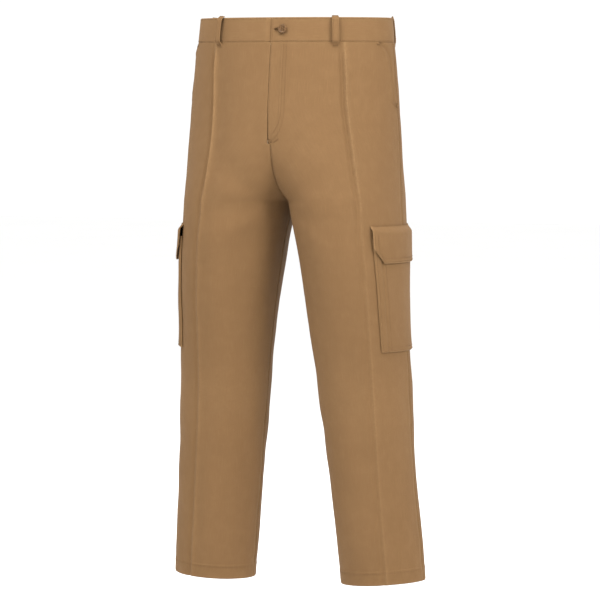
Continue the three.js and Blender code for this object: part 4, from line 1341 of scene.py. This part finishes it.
def make_rear_pockets():
    for word, side in SIDES:
        # The bag is cut about 140 by 400 mm and folded. The welt is cut 128 by 13 mm.
        bag = bag_sheet(f"{word}_rear_bag", side, rear_angle(170), rear_angle(45), PANEL_TOP, 245,
                        CLOTH + INNER_GAP, 30)
        laid(bag, "pocketing", f"{word}_rear_pocket_bag", (0.14, 0.40), "folded", f"{word}_band")

        rows = [REAR_DROP + share * REAR_WELT
                for share in (0, 0.03, 0.08, 0.16, 0.3, 0.46, 0.5, 0.54, 0.7, 0.84, 0.92, 0.97, 1)]

        def lift(angle, drop, u):
            level = (drop - REAR_DROP) / REAR_WELT
            roll = 0.9 * (1 - abs(2 * level - 1) ** 3) - 0.7 * mound(level, 0.5, 0.05)
            return SEAM_GAP + 1.3 + roll - 0.5 * exp(-min(u, 1 - u) * 118 / 0.8)

        welt = cloth_patch(f"{word}_rear_welt", side, rows, 60, rear_angle(WELT_OUTER), rear_angle(WELT_INNER),
                           "twill", 1.4, lift=lift, fade=lambda a, d, u: 0.3, round_edge=0.3, edge_crowd=0.5)
        laid(welt, "twill_cloth", f"{word}_rear_pocket_welt", (0.128, 0.013), "folded", f"{word}_back_leg")

        drop = REAR_DROP + REAR_WELT / 2
        angle = rear_angle((WELT_OUTER + WELT_INNER) / 2)(drop)
        seat, out = on_body(side, angle, drop, 2.5), outward(side, angle, drop)
        place = stand(seat, out)
        button = button_shape(f"{word}_rear_button", REAR_BUTTON_RADIUS, place)
        belongs(button, "trousers", "button_plastic", f"{word}_rear_pocket_button")
        button_thread(f"{word}_rear_button_thread", "trousers", REAR_BUTTON_RADIUS, place)

        lines = []
        for at in (REAR_DROP - 1.8, REAR_DROP + (REAR_WELT + 1.8)):
            lines.append(running(body_line(side, (rear_angle(WELT_OUTER + 2)(at), at),
                                           (rear_angle(WELT_INNER - 2)(at), at), 0.4, 40)))
        for x in (WELT_INNER - 2, WELT_OUTER + 2):
            top, low = [on_body(side, rear_angle(x)(at), at, 0.5)
                        for at in (REAR_DROP - 2, REAR_DROP + REAR_WELT + 2)]
            lines.append(bartack(top, low, Vector((1, 0, 0))))
        sew(f"{word}_rear_stitching", "trousers", *lines)


def cargo_across(drop):
    """Millimetres round the side of a leg to one radian."""
    return section(drop)[1] * 1.05


def cargo_lift(angle, drop, wide):
    """Outer face of the cargo pocket: bellows sides, a sewn lower edge and a soft full middle."""
    across = cargo_across(drop)
    side_gap = min(angle - CARGO_FRONT, CARGO_BACK - angle) * across
    low_gap = CARGO_BOTTOM - drop
    near = min(side_gap, low_gap)
    wall = lerp(2.1, CARGO_DEPTH, ease(near, 0.0, 2.4))
    pleat = -1.5 * mound(side_gap, 14, 1.5) + 0.5 * mound(side_gap, 10, 2.5)
    full = 0.7 * ease(near, 6, 70) * (0.5 + 0.5 * ease(drop, CARGO_MOUTH, CARGO_BOTTOM - 50))
    slack = 0.6 * noise.noise(Vector((angle * 2.6, wide, drop / 60)))
    return wall + pleat + full + slack * ease(near, 2, 20)


def closure_tape(name, side, lift):
    """A patch of hook or loop tape, 50 by 20 mm, on the middle of a pocket or behind its flap."""
    return cloth_patch(name, side, levels(TAPE_TOP, TAPE_FOOT, 2.5), 16, lambda d: TAPE_FRONT,
                       lambda d: TAPE_BACK, "hooks", 0.8, lift=lift)


def make_cargo_pockets():
    rows = levels(CARGO_MOUTH, CARGO_BOTTOM, 4.0, [(CARGO_MOUTH, 405, 1.2), (599, CARGO_BOTTOM, 0.8)])
    for word, side in SIDES:
        # Each pocket is cut about 175 by 215 mm, with a pleat near each side.
        pocket = cloth_patch(f"{word}_cargo", side, rows, 84, lambda d: CARGO_FRONT, lambda d: CARGO_BACK,
                             "twill", CLOTH, lift=lambda a, d, u, s=side: cargo_lift(a, d, s * 5.0),
                             fade=lambda a, d, u: clamp(0.55 * exp(-min(u, 1 - u) * 60)
                                                        + 0.5 * exp(-(CARGO_BOTTOM - d) / 3)),
                             edge_crowd=0.8)
        laid(pocket, "twill_cloth", f"{word}_cargo_pocket", (0.175, 0.215), "draped", f"{word}_front_leg")
        lines = []

        def stitched(route):
            lines.append(running([on_body(side, a, d, cargo_lift(a, d, side * 5.0) + 0.28) for a, d in route]))

        for inset in (3.4, 20.0):
            for edge, sign in ((CARGO_FRONT, 1), (CARGO_BACK, -1)):
                route = []
                for i in range(61):
                    drop = lerp(CARGO_MOUTH + 3, CARGO_BOTTOM - 3.5, i / 60)
                    route.append((edge + sign * inset / (cargo_across(drop)), drop))
                stitched(route)
        for rise in (3.6, 9.4):
            drop = CARGO_BOTTOM - rise
            stitched([(lerp(CARGO_FRONT + 0.03, CARGO_BACK - 0.03, i / 80), drop) for i in range(81)])
        sew(f"{word}_cargo_stitching", "trousers", *lines)
        tape = closure_tape(f"{word}_loop_tape", side, lambda a, d, u: cargo_lift(a, d, side * 5.0) + 0.85)
        belongs(tape, "trousers", "hook_and_loop", f"{word}_pocket_loop_tape")


FLAP_START = CARGO_FRONT - radians(1.2)
FLAP_END = CARGO_BACK + radians(1.2)


def flap_height(angle):
    from_corner = min(angle - FLAP_START, FLAP_END - angle) / FLAP_CORNER
    return lerp(FLAP_SIDE, FLAP_HEIGHT, clamp(from_corner))


def flap_lift(angle, share, side):
    """Outer face of a flap: sewn down along its top edge, then standing over the pocket."""
    stand_off = lerp(SEAM_GAP, FLAP_INNER - 0.3, ease(share, 0.0, 0.2))
    stand_off += 0.5 * ease(share, 0.6, 1.0)
    ends = min(angle - FLAP_START, FLAP_END - angle) * FLAP_ROUND
    roll = -0.8 * exp(-ends / 1.0) - 0.8 * exp(-(1 - share) * FLAP_LONG / 1.0)
    wave = 0.7 * noise.noise(Vector((angle * 2.3, side * 3.0, share * 1.6))) * ease(share, 0.1, 0.5)
    ridge = 0.45 * mound((1 - share) * FLAP_LONG, 3.0, 2.0)
    return stand_off + roll + wave + ridge + CLOTH


def flap_point(side, angle, share, extra=0.0):
    drop = FLAP_DROP + share * flap_height(angle)
    return on_body(side, angle, drop, flap_lift(angle, share, side) + extra)


def make_cargo_flaps():
    columns = 84
    shares = [0, 0.015, 0.04] + [lerp(0.07, 0.955, i / 23) for i in range(24)] + [0.975, 0.99, 1.0]
    for word, side in SIDES:
        # Each flap is cut about 185 by 72 mm, with two clipped corners.
        def mark(column):
            return lerp(FLAP_START, FLAP_END, crowd(column / columns, 0.72))

        def place(column, row):
            return flap_point(side, mark(column), shares[row])

        def uv(column, row):
            angle = mark(column)
            return angle * 0.105, -(FLAP_DROP + shares[row] * flap_height(angle)) * MM

        def worn(column, row):
            ends = min(mark(column) - FLAP_START, FLAP_END - mark(column)) * FLAP_ROUND
            hem = 0.9 * exp(-(1 - shares[row]) * FLAP_LONG / 2)
            return clamp(0.85 * exp(-ends / 2) + hem + 0.3 * exp(-shares[row] * FLAP_LONG / 3))

        bm = grid_sheet(columns, len(shares) - 1, place, uv, worn, side < 0)
        flap = new_piece(f"{word}_flap_cloth", bm, "twill", CLOTH, round_edge=0.4)
        body, x = f"{word}_flap", side * 0.211
        blended(flap, body, (x, -0.018, -0.3795), (x, -0.018, -0.3895), f"{word}_cargo_flap",
                (0.185, 0.072), f"{word}_cargo", area=0.0122)
        edge = []
        for inset in (3.0, 9.0):
            start, end = FLAP_START + inset / FLAP_SEWN, FLAP_END - inset / FLAP_SEWN
            line = [flap_point(side, start, lerp(0.28, 1 - inset / 48, i / 14), 0.3) for i in range(15)]
            for i in range(81):
                angle = lerp(start, end, i / 80)
                line.append(flap_point(side, angle, 1 - inset / flap_height(angle), 0.3))
            line += [flap_point(side, end, lerp(1 - inset / 48, 0.28, i / 14), 0.3) for i in range(15)]
            edge.append(running(line))
        sew(f"{word}_flap_stitching", body, *edge)
        top = [flap_point(side, lerp(FLAP_START + 0.03, FLAP_END - 0.03, i / 80), 0.03 * 0.28, 0.25)
               for i in range(81)]
        sew(f"{word}_flap_seam_stitching", "trousers", running(top))

        tape = closure_tape(f"{word}_hook_tape", side, lambda a, d, u: flap_lift(
            a, (d - FLAP_DROP) / FLAP_HEIGHT, side) - CLOTH - 0.05)
        belongs(tape, body, "hook_and_loop", f"{word}_flap_hook_tape")


# ------------------------------------------------------------------ stage

def look(item, place, target):
    item.location = place
    item.rotation_euler = (Vector(target) - Vector(place)).to_track_quat("-Z", "Y").to_euler()


def add_light(name, place, target, power, size, tint):
    data = bpy.data.lights.new(name, "AREA")
    data.energy, data.size, data.color = power, size, tint
    look(add_object(name, data), place, target)


def make_stage():
    floor = bmesh.new()
    bmesh.ops.create_grid(floor, x_segments=8, y_segments=8, size=14)
    bmesh.ops.translate(floor, verts=floor.verts[:], vec=(0, 4, FLOOR_LEVEL))
    mesh = bpy.data.meshes.new("floor")
    floor.to_mesh(mesh)
    floor.free()
    material, tree, shader, place = start_material("floor")
    shade = blend_colour(tree, clouds(tree, place, 3.0, 2.0), (0.93, 0.93, 0.925, 1), (0.95, 0.95, 0.945, 1))
    connect(tree, shader, [("Base Color", shade), ("Roughness", 0.9), ("Specular IOR Level", 0.1)])
    mesh.materials.append(material)
    add_object("floor", mesh)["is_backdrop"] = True

    for light in LIGHTS:
        add_light(*light)
    world = bpy.data.worlds.new("studio")
    world.use_nodes = True
    backdrop = world.node_tree.nodes["Background"].inputs
    backdrop[0].default_value = (1.0, 1.0, 1.0, 1)
    backdrop[1].default_value = 1.06
    bpy.context.scene.world = world
    bpy.context.scene.view_settings.view_transform = "Standard"

    data = bpy.data.cameras.new("camera")
    data.sensor_width, data.lens, data.clip_end = 36, CAMERA_LENS, 60
    camera = add_object("camera", data)
    place = (CAMERA_AWAY * sin(CAMERA_TURN), -CAMERA_AWAY * cos(CAMERA_TURN), CAMERA_HEIGHT)
    look(camera, place, CAMERA_AIM)
    bpy.context.scene.camera = camera


# ----------------------------------------------------------- the add-on

class TROUSERS_OT_legs(bpy.types.Operator):
    """Build the four leg panels"""
    bl_idname = "trousers.legs"
    bl_label = "Legs"

    def execute(self, context):
        make_legs()
        return {"FINISHED"}


class TROUSERS_OT_hems(bpy.types.Operator):
    """Build the turned-up hems"""
    bl_idname = "trousers.hems"
    bl_label = "Hems"

    def execute(self, context):
        make_hems()
        return {"FINISHED"}


class TROUSERS_OT_leg_seams(bpy.types.Operator):
    """Sew the seams of the legs"""
    bl_idname = "trousers.leg_seams"
    bl_label = "Leg seams"

    def execute(self, context):
        make_leg_seams()
        return {"FINISHED"}


class TROUSERS_OT_waistband(bpy.types.Operator):
    """Build the waistband with its buttonhole"""
    bl_idname = "trousers.waistband"
    bl_label = "Waistband"

    def execute(self, context):
        make_waistband()
        return {"FINISHED"}


class TROUSERS_OT_band_linings(bpy.types.Operator):
    """Build the linings inside the waistband"""
    bl_idname = "trousers.band_linings"
    bl_label = "Band linings"

    def execute(self, context):
        make_band_linings()
        return {"FINISHED"}


class TROUSERS_OT_belt_loops(bpy.types.Operator):
    """Build the seven belt loops"""
    bl_idname = "trousers.belt_loops"
    bl_label = "Belt loops"

    def execute(self, context):
        make_belt_loops()
        return {"FINISHED"}


class TROUSERS_OT_fly(bpy.types.Operator):
    """Build the fly lap, its facing and its shield"""
    bl_idname = "trousers.fly"
    bl_label = "Fly"

    def execute(self, context):
        make_fly()
        return {"FINISHED"}


class TROUSERS_OT_zip(bpy.types.Operator):
    """Build the zip's tapes and teeth and finish its metal"""
    bl_idname = "trousers.zip"
    bl_label = "Zip"

    def execute(self, context):
        make_zip()
        return {"FINISHED"}


class TROUSERS_OT_waist_button(bpy.types.Operator):
    """Build the waist button and its thread"""
    bl_idname = "trousers.waist_button"
    bl_label = "Waist button"

    def execute(self, context):
        make_waist_button()
        return {"FINISHED"}


class TROUSERS_OT_hand_pockets(bpy.types.Operator):
    """Build the slanted hand pockets"""
    bl_idname = "trousers.hand_pockets"
    bl_label = "Hand pockets"

    def execute(self, context):
        make_hand_pockets()
        return {"FINISHED"}


class TROUSERS_OT_rear_pockets(bpy.types.Operator):
    """Build the buttoned rear pockets"""
    bl_idname = "trousers.rear_pockets"
    bl_label = "Rear pockets"

    def execute(self, context):
        make_rear_pockets()
        return {"FINISHED"}


class TROUSERS_OT_cargo_pockets(bpy.types.Operator):
    """Build the cargo pockets on the thighs"""
    bl_idname = "trousers.cargo_pockets"
    bl_label = "Cargo pockets"

    def execute(self, context):
        make_cargo_pockets()
        return {"FINISHED"}


class TROUSERS_OT_cargo_flaps(bpy.types.Operator):
    """Build the flaps of the cargo pockets"""
    bl_idname = "trousers.cargo_flaps"
    bl_label = "Cargo flaps"

    def execute(self, context):
        make_cargo_flaps()
        return {"FINISHED"}


class TROUSERS_OT_stage(bpy.types.Operator):
    """Set the floor, the lights and the camera"""
    bl_idname = "trousers.stage"
    bl_label = "Stage"

    def execute(self, context):
        make_stage()
        return {"FINISHED"}


STEPS = (
    TROUSERS_OT_stage, TROUSERS_OT_legs, TROUSERS_OT_hems, TROUSERS_OT_leg_seams, TROUSERS_OT_waistband,
    TROUSERS_OT_band_linings, TROUSERS_OT_belt_loops, TROUSERS_OT_fly, TROUSERS_OT_zip, TROUSERS_OT_waist_button,
    TROUSERS_OT_hand_pockets, TROUSERS_OT_rear_pockets, TROUSERS_OT_cargo_pockets, TROUSERS_OT_cargo_flaps,
)


class TROUSERS_PT_panel(bpy.types.Panel):
    """Lists the pieces of the trousers and their settings"""
    bl_idname = "TROUSERS_PT_panel"
    bl_label = "Trousers"
    bl_space_type = "VIEW_3D"
    bl_region_type = "UI"
    bl_category = "Trousers"

    def draw(self, context):
        column = self.layout.column()
        for step in STEPS:
            column.operator(step.bl_idname)
        for settings in (context.scene.trouser_sizes, context.scene.trouser_colours):
            box = self.layout.box()
            for name in settings.bl_rna.properties.keys():
                if name not in {"rna_type", "name"}:
                    box.prop(settings, name)


CLASSES = (TrouserSizes, TrouserColours, *STEPS, TROUSERS_PT_panel)


def register():
    for item in CLASSES:
        bpy.utils.register_class(item)
    bpy.types.Scene.trouser_sizes = bpy.props.PointerProperty(type=TrouserSizes)
    bpy.types.Scene.trouser_colours = bpy.props.PointerProperty(type=TrouserColours)


def unregister():
    del bpy.types.Scene.trouser_colours
    del bpy.types.Scene.trouser_sizes
    for item in reversed(CLASSES):
        bpy.utils.unregister_class(item)


def main():
    register()
    for step in STEPS:
        kind, name = step.bl_idname.split(".")
        getattr(getattr(bpy.ops, kind), name)()
    low_high = [[list(corner) for corner in box] for box in (CAD_BOX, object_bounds())]


if __name__ == "__main__":
    main()
